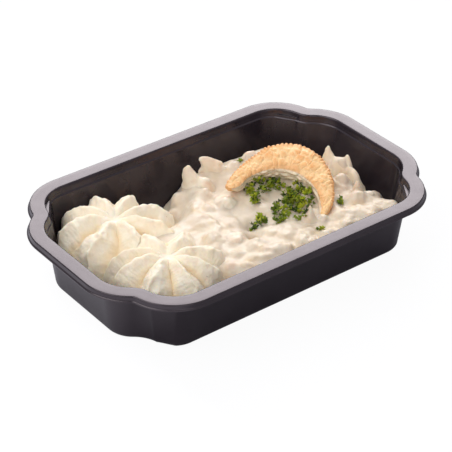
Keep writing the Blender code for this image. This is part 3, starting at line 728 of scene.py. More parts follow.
# %% Chicken pieces
CHICKEN = {
    "tall": (
        (7.0, 42.6, 18.0, 9.8, 6.8, 15.0, -38, -4, 0.5, -2.5, 1.8),
        (10, 37, 16, 10.0, 7.6, 11.5, -38, 0, 0.35, 0, 2.0),
        (2, 38, 12, 8.0, 6.6, 9.6, -20, 0, 0.3, 0, 2.0),
    ),
    "curl": (
        (25.0, 44.0, 18.5, 9.2, 3.4, 13.6, 142, 0, 0.2, 3.6, 1.9),
        (19.6, 48.2, 29.8, 3.4, 1.4, 1.6, 142, -28, 0.3, 0.0, 2.0),
        (27, 39.5, 14.5, 9.0, 5.0, 9.5, 142, 0, 0.3, 0.0, 2.2),
    ),
    "left": ((5.8, 11.8, 19.5, 8.8, 8.8, 9.0, 20, 0, 0.1, 0, 2.1),),
    "near": ((-11.5, -20, 17.5, 9.2, 8.0, 8.0, -25, 0, 0.1, 0, 2.2),),
    "point": (
        (33.2, -31.4, 19.0, 10.0, 8.0, 15.0, 135, 0, 0.62, 0.0, 1.6),
        (40, -35, 17.5, 10.0, 8.0, 9.8, 55, 0, 0.4, 0, 2.0),
    ),
    "back": ((50.5, 40.5, 19, 12.0, 7.4, 10.6, -30, 6, 0.4, 0, 2.1),),
    "right": (
        (83.4, 8.4, 17.5, 10.4, 6.8, 16.8, 104, 0, 0.58, 2.0, 1.6),
        (84.5, 2.0, 16, 12.0, 6.8, 14.6, 98, 0, 0.2, 0, 2.1),
        (87, -1.5, 17.5, 8.4, 6.0, 15.8, 98, 0, 0.6, 0, 1.7),
        (86.0, -10.5, 13, 9.0, 6.6, 12.6, 98, 0, 0.4, 0, 2.1),
    ),
    "end": (
        (73.2, -26.4, 17.5, 12.0, 9.0, 14.6, -35, 0, 0.65, 0, 1.6),
        (79, -29, 15, 9.5, 8.0, 9.4, -35, 0, 0.4, 0, 2.1),
    ),
}
# Lumps under the surface: middle, half sizes, turn, and how much the meat shows
LUMPS = (
    (-20, -14, 17, 6.5, 6, 7, 10, 0.5), (-18, 3, 16, 7, 6.5, 7.4, 40, 0.9), (-25, 2, 13, 6, 6, 8, 0, 0.6),
    (20, -6, 19, 7, 6, 6, 30, 0.1), (20, 3, 19, 6, 5, 7, -20, 0.2), (8, -27, 19, 7, 6, 6.5, -30, 0.2),
    (14, -36, 18, 7, 5.5, 7.4, 15, 0.1), (-5, -33, 18, 7.5, 6, 7, 50, 0.3), (1, -43, 18, 8, 5.5, 7, 0, 0.1),
    (-26, -38, 16, 7, 6.5, 7, 35, 1.0), (17, -47, 18, 7, 5, 7.5, 20, 0.2), (45, -47, 18, 8, 6, 8, -15, 0.3),
    (67, -47, 18, 8, 6, 8.5, 10, 0.4), (69, -32, 21, 8, 6.5, 9.5, -40, 0.9), (74, -12, 20, 8, 7, 10, 25, 0.5),
    (31, -49, 19, 6.5, 5, 7, 40, 0.2), (52, -38, 19, 7.5, 6, 7.5, -20, 0.4), (60, -42, 20, 6, 5, 8, 60, 0.6),
    (-11, 35, 8, 7.5, 6, 6.5, 20, 0.3), (-4, 42, 13, 6.5, 5.5, 7, -30, 0.5),
    (-8, 22, 14, 8, 6.5, 7.5, 10, 0.4),
    (-22, 24, 6, 7, 7, 6, 0, 0.2), (3, 27, 18, 7, 7, 8, 60, 0.5), (35, 40, 19, 7, 5.5, 8, 20, 0.2),
    (-15, -43, 17, 7, 5, 7.5, -20, 0.3), (81, -44, 15, 6.5, 6, 8, 0, 0.5), (-2, -5, 18, 6, 6, 6, 45, 0.2),
    (26, -40, 19, 6, 5.5, 6.5, 0, 0.1), (62, 14, 19, 8, 7, 7, 30, 0.3), (66, 36, 18, 9, 7, 8, 0, 0.4),
    (55, -22, 20, 7, 6, 6, -30, 0.2), (90, -24, 10, 6, 6, 8, 10, 0.6), (14, 18, 18, 7, 6, 7, 15, 0.3),
)
# Widths of the fillets round the lumps, the big pieces and the scraps, and between the chunks of one piece
LUMP_FILLET = 5.0 * MM
PIECE_FILLET = 2.2 * MM
SCRAP_FILLET = 2.6 * MM
JOIN_FILLET = 3.5 * MM


def chunk_distance(points, row, seed):
    """Rough distance to a chunk: (|x|^p + |y|^p + |z|^p)^(1/p) - 1 in its own scaled axes, times a width."""
    middle, half = np.array(row[:3]) * MM, np.array(row[3:6]) * MM
    turn, tilt, taper, lean, power = row[6:]
    turned = Matrix.Rotation(math.radians(turn), 3, "Z") @ Matrix.Rotation(math.radians(tilt), 3, "Y")
    own = (points - middle) @ np.array(turned)
    rise = smoothstep(-1.0, 1.0, own[..., 2] / half[2])
    narrow = 1.0 - taper * rise
    scaled = np.stack([
        (own[..., 0] - lean * MM * rise**3) / (half[0] * narrow),
        own[..., 1] / (half[1] * narrow),
        own[..., 2] / half[2],
    ], -1)
    size = (np.abs(scaled) ** power).sum(-1) ** (1 / power)
    dents = 0.9 * MM * noise(points, 7.0 * MM, seed) + 0.45 * MM * noise(points, 3.4 * MM, seed + 1)
    return (size - 1.0) * min(half) * 0.9 + dents


def small_bits(count=95, seed=12):
    """Rows for small scraps of meat and mushroom strewn just under the surface."""
    draw = np.random.default_rng(seed)
    x, y = draw.uniform(-36, 92, count), draw.uniform(-52, 48, count)
    size = draw.uniform(1.8, 4.6, count)
    z = sauce_height(x * MM, y * MM) / MM - size * draw.uniform(0.25, 0.8, count)
    wide = size * draw.uniform(0.8, 1.6, count)
    turn, tilt = draw.uniform(0, 360, count), draw.uniform(-40, 40, count)
    meat, power = draw.uniform(0.0, 0.7, count), draw.uniform(1.6, 2.6, count)
    rows = np.stack([x, y, z, wide, size * 0.8, size, turn, tilt, 0 * x, 0 * x, power], -1)
    return [(tuple(row), share) for row, share in zip(rows, meat)]


def chicken_distance(points, name):
    """Distance to a named piece, its chunks joined by fillets."""
    seed = sum(map(ord, name))
    joined = chunk_distance(points, CHICKEN[name][0], seed)
    for n, row in enumerate(CHICKEN[name][1:], 1):
        joined = soft_minimum(joined, chunk_distance(points, row, seed + n), JOIN_FILLET)
    return joined


def soft_minimum(a, b, width):
    """The lower of two fields, with a fillet of about that width where they are alike."""
    near = np.clip(width - np.abs(a - b), 0.0, None) / width
    return np.minimum(a, b) - near**2 * width / 4


# %% Fill a grid with the field
CELL = 0.74 * MM
LOW = np.array((-52.0, -66.0, -0.2)) * MM
SHAPE = (208, 179, 54)
COAT = 0.45 * MM  # how far the big pieces' own nets stand out of the sauce's net
SAUCE_WAVES = 0.42 * MM
SAUCE_GRAIN = 0.12 * MM
FOLDS = ((0.7 * MM, 9.5 * MM, 61), (0.2 * MM, 3.8 * MM, 62))  # depth, size and seed of the sauce's folds


def window(low, high):
    """Slices of the grid that hold the box from low to high."""
    first = np.clip(np.floor((low - LOW) / CELL).astype(int), 0, SHAPE)
    last = np.clip(np.ceil((high - LOW) / CELL).astype(int) + 1, 0, SHAPE)
    return tuple(slice(a, b) for a, b in zip(first, last))


def grid_points(part):
    """Points of the grid inside some slices."""
    axes = [LOW[n] + CELL * np.arange(SHAPE[n])[part[n]] for n in range(3)]
    return np.stack(np.meshgrid(*axes, indexing="ij"), -1)


def wall_distance(points, gap):
    """How far points are outside the tray's cavity, less a gap, as in keep_inside."""
    limit = wall_inset(points[..., 2]) + gap
    x, y = np.abs(points[..., 0]), np.abs(points[..., 1])
    out = []
    for centre, edge in LOBES:
        dx, dy = x - centre[0], y - centre[1]
        corner = np.hypot(np.clip(dx, 0.0, None), np.clip(dy, 0.0, None))
        corner = corner + np.clip(np.maximum(dx, dy), None, 0.0)
        out.append(corner - (edge - limit))
    return np.maximum(np.minimum(*out), WALL + 0.4 * MM - points[..., 2])


def all_chunks():
    """(row, width of its fillet, seed, share of meat that shows) of every chunk, large to small."""
    chunks = []
    for n, lump in enumerate(LUMPS):
        chunks.append(((*lump[:7], 0, 0.25, 0, 2.4), LUMP_FILLET, 50 + n, lump[7]))
    for name, pieces in CHICKEN.items():
        chunks += [(row, PIECE_FILLET, sum(map(ord, name)) + n, 0.7) for n, row in enumerate(pieces)]
    return chunks + [(row, SCRAP_FILLET, 300 + n, meat) for n, (row, meat) in enumerate(small_bits())]


def ragout_field():
    """The sauce, every chunk joined to it by a fillet, roughened near its surface and cut by the tray."""
    whole = (slice(0, SHAPE[0]), slice(0, SHAPE[1]), slice(0, SHAPE[2]))
    points = grid_points(whole)
    x, y = points[:, :, 0, 0], points[:, :, 0, 1]
    field = (points[..., 2] - sauce_height(x, y)[..., None]) * 0.8
    for row, width, seed, _ in all_chunks():
        middle, reach = np.array(row[:3]) * MM, max(row[3:6]) * 1.5 * MM + 6 * MM
        part = window(middle - reach, middle + reach)
        chunk = chunk_distance(points[part], row, seed) + COAT
        field[part] = soft_minimum(field[part], chunk, width)
    near = np.abs(field) < 2.5 * MM
    spots = points[near]
    folds = sum(depth * (0.35 - np.abs(noise(spots, size, seed))) for depth, size, seed in FOLDS)
    waves = SAUCE_WAVES * layered_noise(spots, 7.5 * MM, 2, 3) + SAUCE_GRAIN * noise(spots, 1.9 * MM, 8)
    field[near] += waves + folds
    field = np.maximum(field, wall_distance(points, 0.4 * MM))
    return np.maximum(field, LOW[0] + 2 * CELL - points[..., 0])


# %% Net over the zero of a field


def crossings(field, axis):
    """Where each grid edge along an axis crosses zero, and the share of the edge at which it does."""
    count = field.shape[axis]
    a, b = np.take(field, range(count - 1), axis), np.take(field, range(1, count), axis)
    crossed = (a < 0) != (b < 0)
    share = np.where(crossed, a / np.where(crossed, a - b, 1.0), 0.0)
    return crossed, share, a < 0


def surface_net(field, low, cell):
    """Points and quads of the surface where the field is zero.

    A cube of the grid that the surface crosses gets one point, the mean of the crossings on its twelve edges.
    An edge that is crossed gets one quad, between the points of the four cubes round it.
    """
    shape = np.array(field.shape) - 1
    total, count = np.zeros((*shape, 3)), np.zeros(shape)
    found = [crossings(field, axis) for axis in range(3)]
    for axis, (crossed, share, _) in enumerate(found):
        others = [n for n in range(3) if n != axis]
        for corner in ((0, 0), (0, 1), (1, 0), (1, 1)):
            part = [slice(None)] * 3
            for other, side in zip(others, corner):
                part[other] = slice(side, side + shape[other])
            hit = crossed[tuple(part)]
            count += hit
            total[..., axis] += share[tuple(part)] * hit
            for other, side in zip(others, corner):
                total[..., other] += side * hit
    cubes = np.argwhere(count > 0)
    number = np.full(shape, -1)
    number[tuple(cubes.T)] = np.arange(len(cubes))
    mean = total[tuple(cubes.T)] / count[tuple(cubes.T)][:, None]
    quads = []
    for axis, (crossed, _, inside) in enumerate(found):
        one, two = (axis + 1) % 3, (axis + 2) % 3
        at = np.argwhere(crossed)
        at = at[(at[:, one] > 0) & (at[:, two] > 0) & (at[:, one] < shape[one]) & (at[:, two] < shape[two])]
        ring = []
        for step_one, step_two in ((1, 1), (0, 1), (0, 0), (1, 0)):
            cube = at.copy()
            cube[:, one] -= step_one
            cube[:, two] -= step_two
            ring.append(number[tuple(cube.T)])
        ring = np.stack(ring, -1)
        flip = inside[tuple(at.T)]
        quads.append(np.where(flip[:, None], ring, ring[:, ::-1]))
    return low + (cubes + mean) * cell, np.vstack(quads)


def sample(field, points):
    """The field at points, from the eight grid values round each."""
    place = np.clip((points - LOW) / CELL, 0, np.array(SHAPE) - 1.001)
    cell = place.astype(int)
    f = place - cell
    total = np.zeros(len(points))
    for a in (0, 1):
        for b in (0, 1):
            for c in (0, 1):
                weight = np.abs(1 - a - f[:, 0]) * np.abs(1 - b - f[:, 1]) * np.abs(1 - c - f[:, 2])
                total += weight * field[cell[:, 0] + a, cell[:, 1] + b, cell[:, 2] + c]
    return total


ragout = ragout_field()
sauce_points, sauce_quads = surface_net(ragout, LOW, CELL)
print("ragout net", len(sauce_points), "points", len(sauce_quads), "quads")

# %% [markdown]
# The sauce is cream white and a little glossy. Where it lies thin over a piece of chicken, the meat tints it
# pink to tan. How thin it lies is the distance from the surface to the nearest chunk, which each point keeps
# as an attribute. A second attribute marks the hollows, which get painted shade, darker and yellower.

# %% Colour masks for the sauce


def point_normals(points, quads):
    """Unit normals at the points: the sum of the normals of the quads round each."""
    corners = points[quads]
    face = np.cross(corners[:, 2] - corners[:, 0], corners[:, 3] - corners[:, 1])
    total = np.zeros_like(points)
    for n in range(4):
        for axis in range(3):
            total[:, axis] += np.bincount(quads[:, n], face[:, axis], len(points))
    return total / np.maximum(np.linalg.norm(total, axis=1, keepdims=True), 1e-12)


def meat_share(points):
    """0 in deep sauce, up to 1 where a chunk lies just under the surface, in patches."""
    share = np.zeros(len(points))
    for row, _, seed, amount in all_chunks():
        near = np.linalg.norm(points - np.array(row[:3]) * MM, axis=1) < max(row[3:6]) * 1.6 * MM
        away = chunk_distance(points[near], row, seed)
        share[near] = np.maximum(share[near], amount * smoothstep(1.6 * MM, -0.8 * MM, away))
    patches = smoothstep(-0.35, 0.45, layered_noise(points, 6.0 * MM, 3, 21))
    return share * patches


def hollow_share(field, points, normals, reach=2.2 * MM):
    """Above 0 where the field a step outside the surface is lower than the step: a hollow, to be painted in
    shade.
    """
    return np.clip(1.0 - sample(field, points + normals * reach) / reach, -1.0, 1.0)


sauce_normals = point_normals(sauce_points, sauce_quads)
sauce_meat = meat_share(sauce_points)
# How deep each point lies in a hollow, for painted shade in the finish.
sauce_hollow = hollow_share(ragout, sauce_points, sauce_normals)
print("meat share up to", round(float(sauce_meat.max()), 2), "hollows", round(float(sauce_hollow.max()), 2))

# %% The sauce's finish


def white_sauce(name, cream, pale, meat, fat):
    """Cream with a pink to tan tint by the meat attribute, greyish thin places and darker, yellower painted
    shade in the hollows.
    """
    made, nodes, links, shader = new_material(name)
    cloud = object_noise(nodes, links, 120.0, 4.0, 0.6, 0.3)
    base = ramp(nodes, links, cloud.outputs["Fac"], [(0.32, cream), (0.68, pale)])
    patch = object_noise(nodes, links, 230.0, 5.0, 0.65, 0.8)
    tint = ramp(nodes, links, patch.outputs["Fac"], [(0.3, meat), (0.7, fat)])
    thin = spread(nodes, links, attribute(nodes, "meat"), 0.1, 0.95, 0.0, 0.85)
    tinted = mix(nodes, links, thin, base, tint)
    # Painted shade: the hollows are darkened towards tan.
    crease_shade = spread(nodes, links, attribute(nodes, "hollow"), 0.25, 0.85, 0.0, 0.6)
    toned = mix(nodes, links, crease_shade, tinted, (0.74, 0.56, 0.33))
    speck = object_noise(nodes, links, 1100.0, 1.0)
    dark = spread(nodes, links, speck.outputs["Fac"], 0.80, 0.83, 0.0, 0.8)
    links.new(mix(nodes, links, dark, toned, (0.22, 0.14, 0.08)), shader.inputs["Base Color"])
    set_depth(shader, 0.4, (1.0, 0.70, 0.42), 2.6 * MM)
    add_grain(nodes, links, shader, 380.0, 1700.0, 0.0005, 0.45, (0.32, 0.52))
    return made


sauce_finish = white_sauce(
    "white_sauce", (0.67, 0.555, 0.42), (0.76, 0.665, 0.53), (0.66, 0.44, 0.31), (0.67, 0.57, 0.45)
)
meat_finish = white_sauce(
    "sauced_chicken", (0.79, 0.67, 0.51), (0.86, 0.77, 0.62), (0.75, 0.54, 0.40), (0.79, 0.68, 0.54)
)
make_piece(
    "creamed_sauce", sauce_points, [sauce_quads], sauce_finish, "white_sauce", ("ragout",),
    meat=sauce_meat, hollow=sauce_hollow,
)

# %% [markdown]
# The eight large pieces stand a little proud of the sauce, so each gets a net of its own, finer than the
# sauce's. Meat is fibrous, so a stretched noise cuts long grooves along each piece.

# %% The large chicken pieces
FIBRE_DEPTH = 0.16 * MM
MEAT_WAVES = 0.45 * MM


def make_chicken(name, cell=0.5 * MM):
    """A net over one piece's field, with fibres along its own long side."""
    rows = np.array(CHICKEN[name])
    reach = (rows[:, 3:6].max(1)[:, None] * 1.35 + 2.0) * MM
    low, high = (rows[:, :3] * MM - reach).min(0), (rows[:, :3] * MM + reach).max(0)
    axes = [np.arange(low[n], high[n], cell) for n in range(3)]
    points = np.stack(np.meshgrid(*axes, indexing="ij"), -1)
    field = chicken_distance(points, name)
    near = np.abs(field) < 2.0 * MM
    cos, sin = math.cos(math.radians(rows[0, 6])), math.sin(math.radians(rows[0, 6]))
    along = points[near] @ np.array([[cos, -sin, 0], [sin, cos, 0], [0, 0, 1]])
    field[near] += FIBRE_DEPTH * noise(along * (0.3, 1.0, 1.0), 1.8 * MM, 4)
    field[near] += MEAT_WAVES * layered_noise(points[near], 6.5 * MM, 3, 3)
    field = np.maximum(field, wall_distance(points, 0.6 * MM))
    net, quads = surface_net(field, low, cell)
    patches = smoothstep(-0.3, 0.6, layered_noise(net, 5.0 * MM, 3, 33))
    make_piece(
        "sauced_" + name, net, [quads], meat_finish, "sauced_chicken", ("chicken_piece_" + name,),
        meat=patches, hollow=0 * patches,
    )


for name in CHICKEN:
    make_chicken(name)

# %% [markdown]
# ## The pastry crescent
# It was cut from a round of puff pastry with a second round, so its inner edge is an arc of a circle, and its
# outer edge nearly one. It lies tilted on the sauce. The surface is a closed section carried round the arc,
# thinner towards the tips. Then the baking is added: blisters and wrinkles on top, crimps round the outer
# rim, and thin layers on the cut side.

# %% Shape of the crescent
PASTRY_RADIUS = 31.2 * MM
PASTRY_SWELL = ((1, 1.77, -135.6), (2, 1.90, 46.9), (3, 1.58, -42.1))  # waves a round, mm, where highest
PASTRY_ENDS = (-116.0, 109.5)
BITE_RADIUS = 24.4 * MM
BITE_SHIFT = 12.74 * MM
BITE_TURN = -106.5
CRIMP_WAVES = 37  # how fast the crimps follow each other round the rim, in radians of wave a radian
BLISTER_SIZE = 4.2 * MM
CRACKLE_SIZE = 1.9 * MM
LAYER_COUNT = 4.5  # thin layers that show on the cut side
# Depths of the baking's relief: blisters, fine crackle, broad puffs, crimps, layers, and tears between them
BLISTER_DEPTH = 0.45 * MM
CRACKLE_DEPTH = 0.2 * MM
PUFF_DEPTH = 0.65 * MM
CRIMP_DEPTH = 1.2 * MM
LAYER_DEPTH = 0.35 * MM
TEAR_DEPTH = 0.6 * MM
# (across, rise) round the section, as shares: 0 is the cut side and the underside, 1 the rim and the top
PASTRY_SECTION = (
    (0.0, 0.0), (-0.02, 0.45), (0.02, 0.82), (0.12, 0.97), (0.3, 1.03), (0.6, 1.05), (0.85, 1.04),
    (0.97, 0.98), (1.02, 0.86), (1.01, 0.55), (0.96, 0.22), (0.9, 0.0), (0.5, -0.02),
)


def closed_curve(corners, count, passes=12):
    """The corners' polygon cut into even steps and rounded by taking means of neighbours."""
    corners = np.array(corners + corners[:1], float)
    length = np.concatenate([[0.0], np.cumsum(np.hypot(*np.diff(corners, axis=0).T))])
    place = np.linspace(0.0, length[-1], count, endpoint=False)
    points = np.stack([np.interp(place, length, corners[:, n]) for n in range(2)], -1)
    for _ in range(passes):
        points = (np.roll(points, 1, 0) + 2.0 * points + np.roll(points, -1, 0)) / 4.0
    return points


def cell_distances(points, size, seed):
    """Distances to the nearest and the next of the dots strewn one to a square, over size; 0 to about 1."""
    scaled = points[..., :2] / size
    cell = np.floor(scaled).astype(np.int64)
    near = np.full(scaled.shape[:-1], 9.0)
    after = near.copy()
    for a in (-1, 0, 1):
        for b in (-1, 0, 1):
            i, j = cell[..., 0] + a, cell[..., 1] + b
            dot_x = i + 0.5 + 0.45 * corner_value(i, j, 0, seed)
            dot_y = j + 0.5 + 0.45 * corner_value(i, j, 7, seed)
            away = np.hypot(scaled[..., 0] - dot_x, scaled[..., 1] - dot_y)
            after = np.minimum(after, np.maximum(near, away))
            near = np.minimum(near, away)
    return near, after


def pastry_surface(rows=620, columns=132):
    """Points (rows, columns, 3), with each point's place along the arc, across the section and its rise."""
    middle, right, up, normal = (np.array(v) for v in pastry_frame())
    back = math.radians(BITE_TURN) + math.pi
    turn = np.radians(np.linspace(*PASTRY_ENDS, rows))[:, None]
    share = np.abs(np.linspace(-1.0, 1.0, rows))[:, None]
    across_curve = np.sqrt(BITE_RADIUS**2 - (BITE_SHIFT * np.sin(math.pi - turn)) ** 2)
    inner = BITE_SHIFT * np.cos(math.pi - turn) + across_curve
    around = back + turn
    swell = 0.0
    for order, depth, facing in PASTRY_SWELL:
        swell = swell + depth * MM * np.cos(order * (around - math.radians(facing)))
    outer = PASTRY_RADIUS + swell
    thick = PASTRY_THICKNESS * (0.42 + 0.58 * np.sqrt(np.clip(1.0 - share**4, 0.0, 1.0)))
    blunt = np.sqrt(np.clip(1.0 - np.clip((share - 0.93) / 0.07, 0.0, 1.0) ** 2, 0.0, 1.0))
    thick = thick * (0.35 + 0.65 * blunt)
    across, rise = closed_curve(PASTRY_SECTION, columns).T
    radius = inner + (outer - inner) * (0.5 + (across - 0.5) * (0.04 + 0.96 * blunt))
    direction = np.cos(back + turn)[..., None] * right + np.sin(back + turn)[..., None] * up
    points = middle + direction * radius[..., None] + ((rise - 1.0) * thick)[..., None] * normal
    return points, *np.broadcast_arrays(turn, across, rise)


def baked(points, turn, across, rise):
    """Moves the points along their normals: blisters, wrinkles, crimps and layers, each where it belongs."""
    normal = grid_normals(points.transpose(1, 0, 2), False).transpose(1, 0, 2)
    facing = normal @ np.array(pastry_frame()[3])
    side = np.sign(facing.mean(0)[np.argmax(rise[0])])
    facing, outward = facing * side, normal * side
    top = smoothstep(0.25, 0.7, facing)
    rim = smoothstep(0.8, 0.98, across) * smoothstep(0.15, 0.4, rise)
    inner_edge = 0.8 * top * smoothstep(0.42, 0.1, across + 0.2 * noise(points, 7 * MM, 47))
    cut = smoothstep(0.25, 0.05, across) * smoothstep(0.98, 0.8, rise)
    along = turn * PASTRY_RADIUS
    flat = points * (1.0, 1.0, 0.6)
    warp = 1.3 * MM * np.stack([noise(flat, 3 * MM, 41), noise(flat, 3 * MM, 42), 0 * along], -1)
    big_near, big_next = cell_distances(flat + warp, BLISTER_SIZE, 43)
    small_near, small_next = cell_distances(flat + warp, CRACKLE_SIZE, 44)
    blister = smoothstep(0.0, 0.42, big_next - big_near)
    crackle = smoothstep(0.0, 0.35, small_next - small_near)
    swell = noise(flat, 6 * MM, 51)
    crimp = np.abs(np.sin(turn * CRIMP_WAVES + 1.1 * noise(flat, 7 * MM, 45))) ** 0.7
    crimp = crimp * (0.75 + 0.5 * noise(flat, 5 * MM, 49))
    level = rise * LAYER_COUNT + 0.7 * layered_noise(points, 8 * MM, 2, 46)
    layer = np.abs(np.sin(level * math.pi)) ** 0.6
    torn = noise(np.stack([along, rise * 9 * MM, 0 * along], -1) * (0.35, 1.2, 1), 1.6 * MM, 48)
    move = top * (BLISTER_DEPTH * (blister - 0.5) + CRACKLE_DEPTH * (crackle - 0.5) + PUFF_DEPTH * swell)
    move = move + rim * CRIMP_DEPTH * (crimp - 0.5) + cut * (LAYER_DEPTH * (layer - 0.6) + TEAR_DEPTH * torn)
    tip = smoothstep(1.0, 0.97, np.abs(np.linspace(-1, 1, len(turn))))[:, None]
    moved = points + outward * (move * (0.3 + 0.7 * tip))[..., None]
    peaks = np.clip(0.55 * blister + 0.2 * crackle + 0.35 * swell, 0.0, 1.0)
    layer = layer * (1 - 0.5 * np.clip(torn, 0, 1))
    return moved, {"peak": peaks, "cut": cut, "rim": np.maximum(rim, inner_edge), "layer": layer}


# %% [markdown]
# Baked pastry is gold, deeper at the rim and on the blisters that stood nearest the heat, and paler between
# them. Egg wash leaves a weak shine. The cut side never browned, so it is pale cream with brown lines where
# the layers part.

# %% The pastry's finish


def golden_pastry():
    """Gold by the peak and rim attributes, and pale with brown lines where the cut attribute says so."""
    made, nodes, links, shader = new_material("golden_pastry")
    cloud = object_noise(nodes, links, 150.0, 4.0, 0.65, 0.4)
    gold = ramp(nodes, links, cloud.outputs["Fac"], [(0.3, (0.84, 0.37, 0.11)), (0.7, (0.93, 0.54, 0.22))])
    peak = spread(nodes, links, attribute(nodes, "peak"), 0.35, 0.95, 0.0, 0.85)
    baked_top = mix(nodes, links, peak, (0.95, 0.63, 0.31), gold)
    edge = spread(nodes, links, attribute(nodes, "rim"), 0.1, 1.0, 0.0, 0.75)
    crust = mix(nodes, links, edge, baked_top, (0.84, 0.42, 0.16))
    stops = [(0.12, (0.45, 0.20, 0.09)), (0.42, (0.84, 0.64, 0.42)), (0.9, (0.90, 0.75, 0.56))]
    layer = ramp(nodes, links, attribute(nodes, "layer"), stops)
    side = spread(nodes, links, attribute(nodes, "cut"), 0.2, 0.7)
    links.new(mix(nodes, links, side, crust, layer), shader.inputs["Base Color"])
    set_depth(shader, 0.12, (1.0, 0.5, 0.22), 1.2 * MM)
    add_grain(nodes, links, shader, 900.0, 3000.0, 0.0004, 0.5, (0.36, 0.55))
    return made


def make_pastry():
    """The closed sweep, with a fan at each tip."""
    points, turn, across, rise = pastry_surface()
    points, masks = baked(points, turn, across, rise)
    rows, columns = turn.shape
    flat = np.vstack([points.reshape(-1, 3), points[0].mean(0), points[-1].mean(0)])
    last = (rows - 1) * columns + np.arange(columns)
    fans = np.vstack([fan(np.arange(columns), rows * columns, True), fan(last, rows * columns + 1)])
    masks = {label: np.concatenate([mask.ravel(), [0.0, 0.0]]) for label, mask in masks.items()}
    return make_piece(
        "baked_crescent", flat, [grid_faces(rows, columns), fans], golden_pastry(), "golden_pastry",
        ("pastry_crescent",), **masks,
    )


make_pastry()

# %% [markdown]
# ## The parsley
# Curly parsley was chopped and dropped in heaps. Each leaflet is a thin fan whose rim is lobed and frilled,
# made as a small grid from its stalk end to its rim. Hundreds of them, each turned and bent its own way, are
# joined into one mesh for each heap. The leaflets stand on the sauce, whose height comes from the field. Two
# single flakes lie apart from the heaps.

# %% Leaflets in heaps
LEAFLET_SIZE = (1.4, 3.6)  # smallest and largest, in mm
# For each heap: middle, half sizes, turn, count of leaflets, and how high it stands
PARSLEY = {
    "clump_left": ((29.4, 9.4), (13.0, 7.2), -30, 105, 5.0),
    "clump_right": ((41.0, -12.6), (8.6, 12.0), -38, 120, 5.5),
    "sprig": ((23.4, -17.4), (3.8, 12.0), -38, 42, 2.6),
    "bit_left": ((19.5, 0.5), (3.2, 4.2), -38, 24, 2.4),
    "bit_front": ((9.8, -15.4), (4.8, 4.0), 0, 30, 2.4),
    "bit_near": ((31.7, -28.8), (2.8, 2.8), 10, 10, 1.8),
    "bit_outer": ((59, -29.5), (2.8, 2.8), 30, 10, 2.4),
    "flake_back": ((40.6, 40.3), (1.4, 1.4), 0, 4, 1.0),
    "flake_near": ((30.4, -43.1), (1.4, 1.4), 0, 3, 0.6),
}
TOP = np.where(ragout < 0, np.arange(SHAPE[2]), -1).max(2) * CELL + LOW[2]


def sauce_top(x, y):
    """Height of the sauce's top at x, y, from the four nearest columns of the field."""
    i = np.clip((x - LOW[0]) / CELL, 0, SHAPE[0] - 2)
    j = np.clip((y - LOW[1]) / CELL, 0, SHAPE[1] - 2)
    a, b = i.astype(int), j.astype(int)
    f, g = i - a, j - b
    near = TOP[a, b] * (1 - f) * (1 - g) + TOP[a + 1, b] * f * (1 - g)
    return near + TOP[a, b + 1] * (1 - f) * g + TOP[a + 1, b + 1] * f * g


def leaflets(seeds, count, rows=6, columns=19, thickness=0.12 * MM):
    """Points (count, 2 sides, rows, columns, 3) of leaflets about a unit frame: x across, y out, z up.

    The rim's radius is about size (0.68 + 0.32 |cos 2.6 a|), a being the angle across the fan. The fan waves
    up and down with a, more the nearer to the rim, and it is cupped as a whole.
    """
    size = seeds.uniform(*LEAFLET_SIZE, (count, 1, 1)) * MM
    spread_angle = seeds.uniform(0.75, 1.25, (count, 1, 1))
    phase = seeds.uniform(0, 6.28, (count, 1, 1))
    angle = np.linspace(-1.0, 1.0, columns)[None, None, :] * spread_angle
    out = np.linspace(0.06, 1.0, rows)[None, :, None]
    rim = size * (0.68 + 0.32 * np.abs(np.cos(2.6 * angle + 0.35 * np.sin(phase))))
    reach = rim * out * (1.0 + 0.10 * np.sin(17 * angle + phase) * out**3)
    wave = 0.26 * size * out**2 * np.sin(8.5 * angle + phase) + 0.10 * size * out**3 * np.sin(21 * angle)
    cup = size * seeds.uniform(-0.25, 0.55, (count, 1, 1)) * out**2
    middle = np.stack([reach * np.sin(angle), reach * np.cos(angle), wave + cup], -1)
    lift = np.array((0.0, 0.0, 1.0)) * thickness / 2
    return np.stack([middle + lift, middle - lift], 1)


def leaflet_faces(count, rows, columns):
    """Quads of both sides of every leaflet, and of the strip that joins them round the edge."""
    sheet = grid_faces(rows, columns, wrap_columns=False)
    size = rows * columns
    top_row, left = np.arange(columns), np.arange(rows) * columns
    right, bottom_row = left + columns - 1, left[-1] + top_row
    edge = np.concatenate([top_row, right[1:], bottom_row[::-1][1:], left[::-1][1:-1]])
    beside = np.roll(edge, -1)
    strip = np.stack([edge, edge + size, beside + size, beside], -1)
    one = np.vstack([sheet, sheet[:, ::-1] + size, strip])
    return (one[None] + (np.arange(count) * 2 * size)[:, None, None]).reshape(-1, 4)


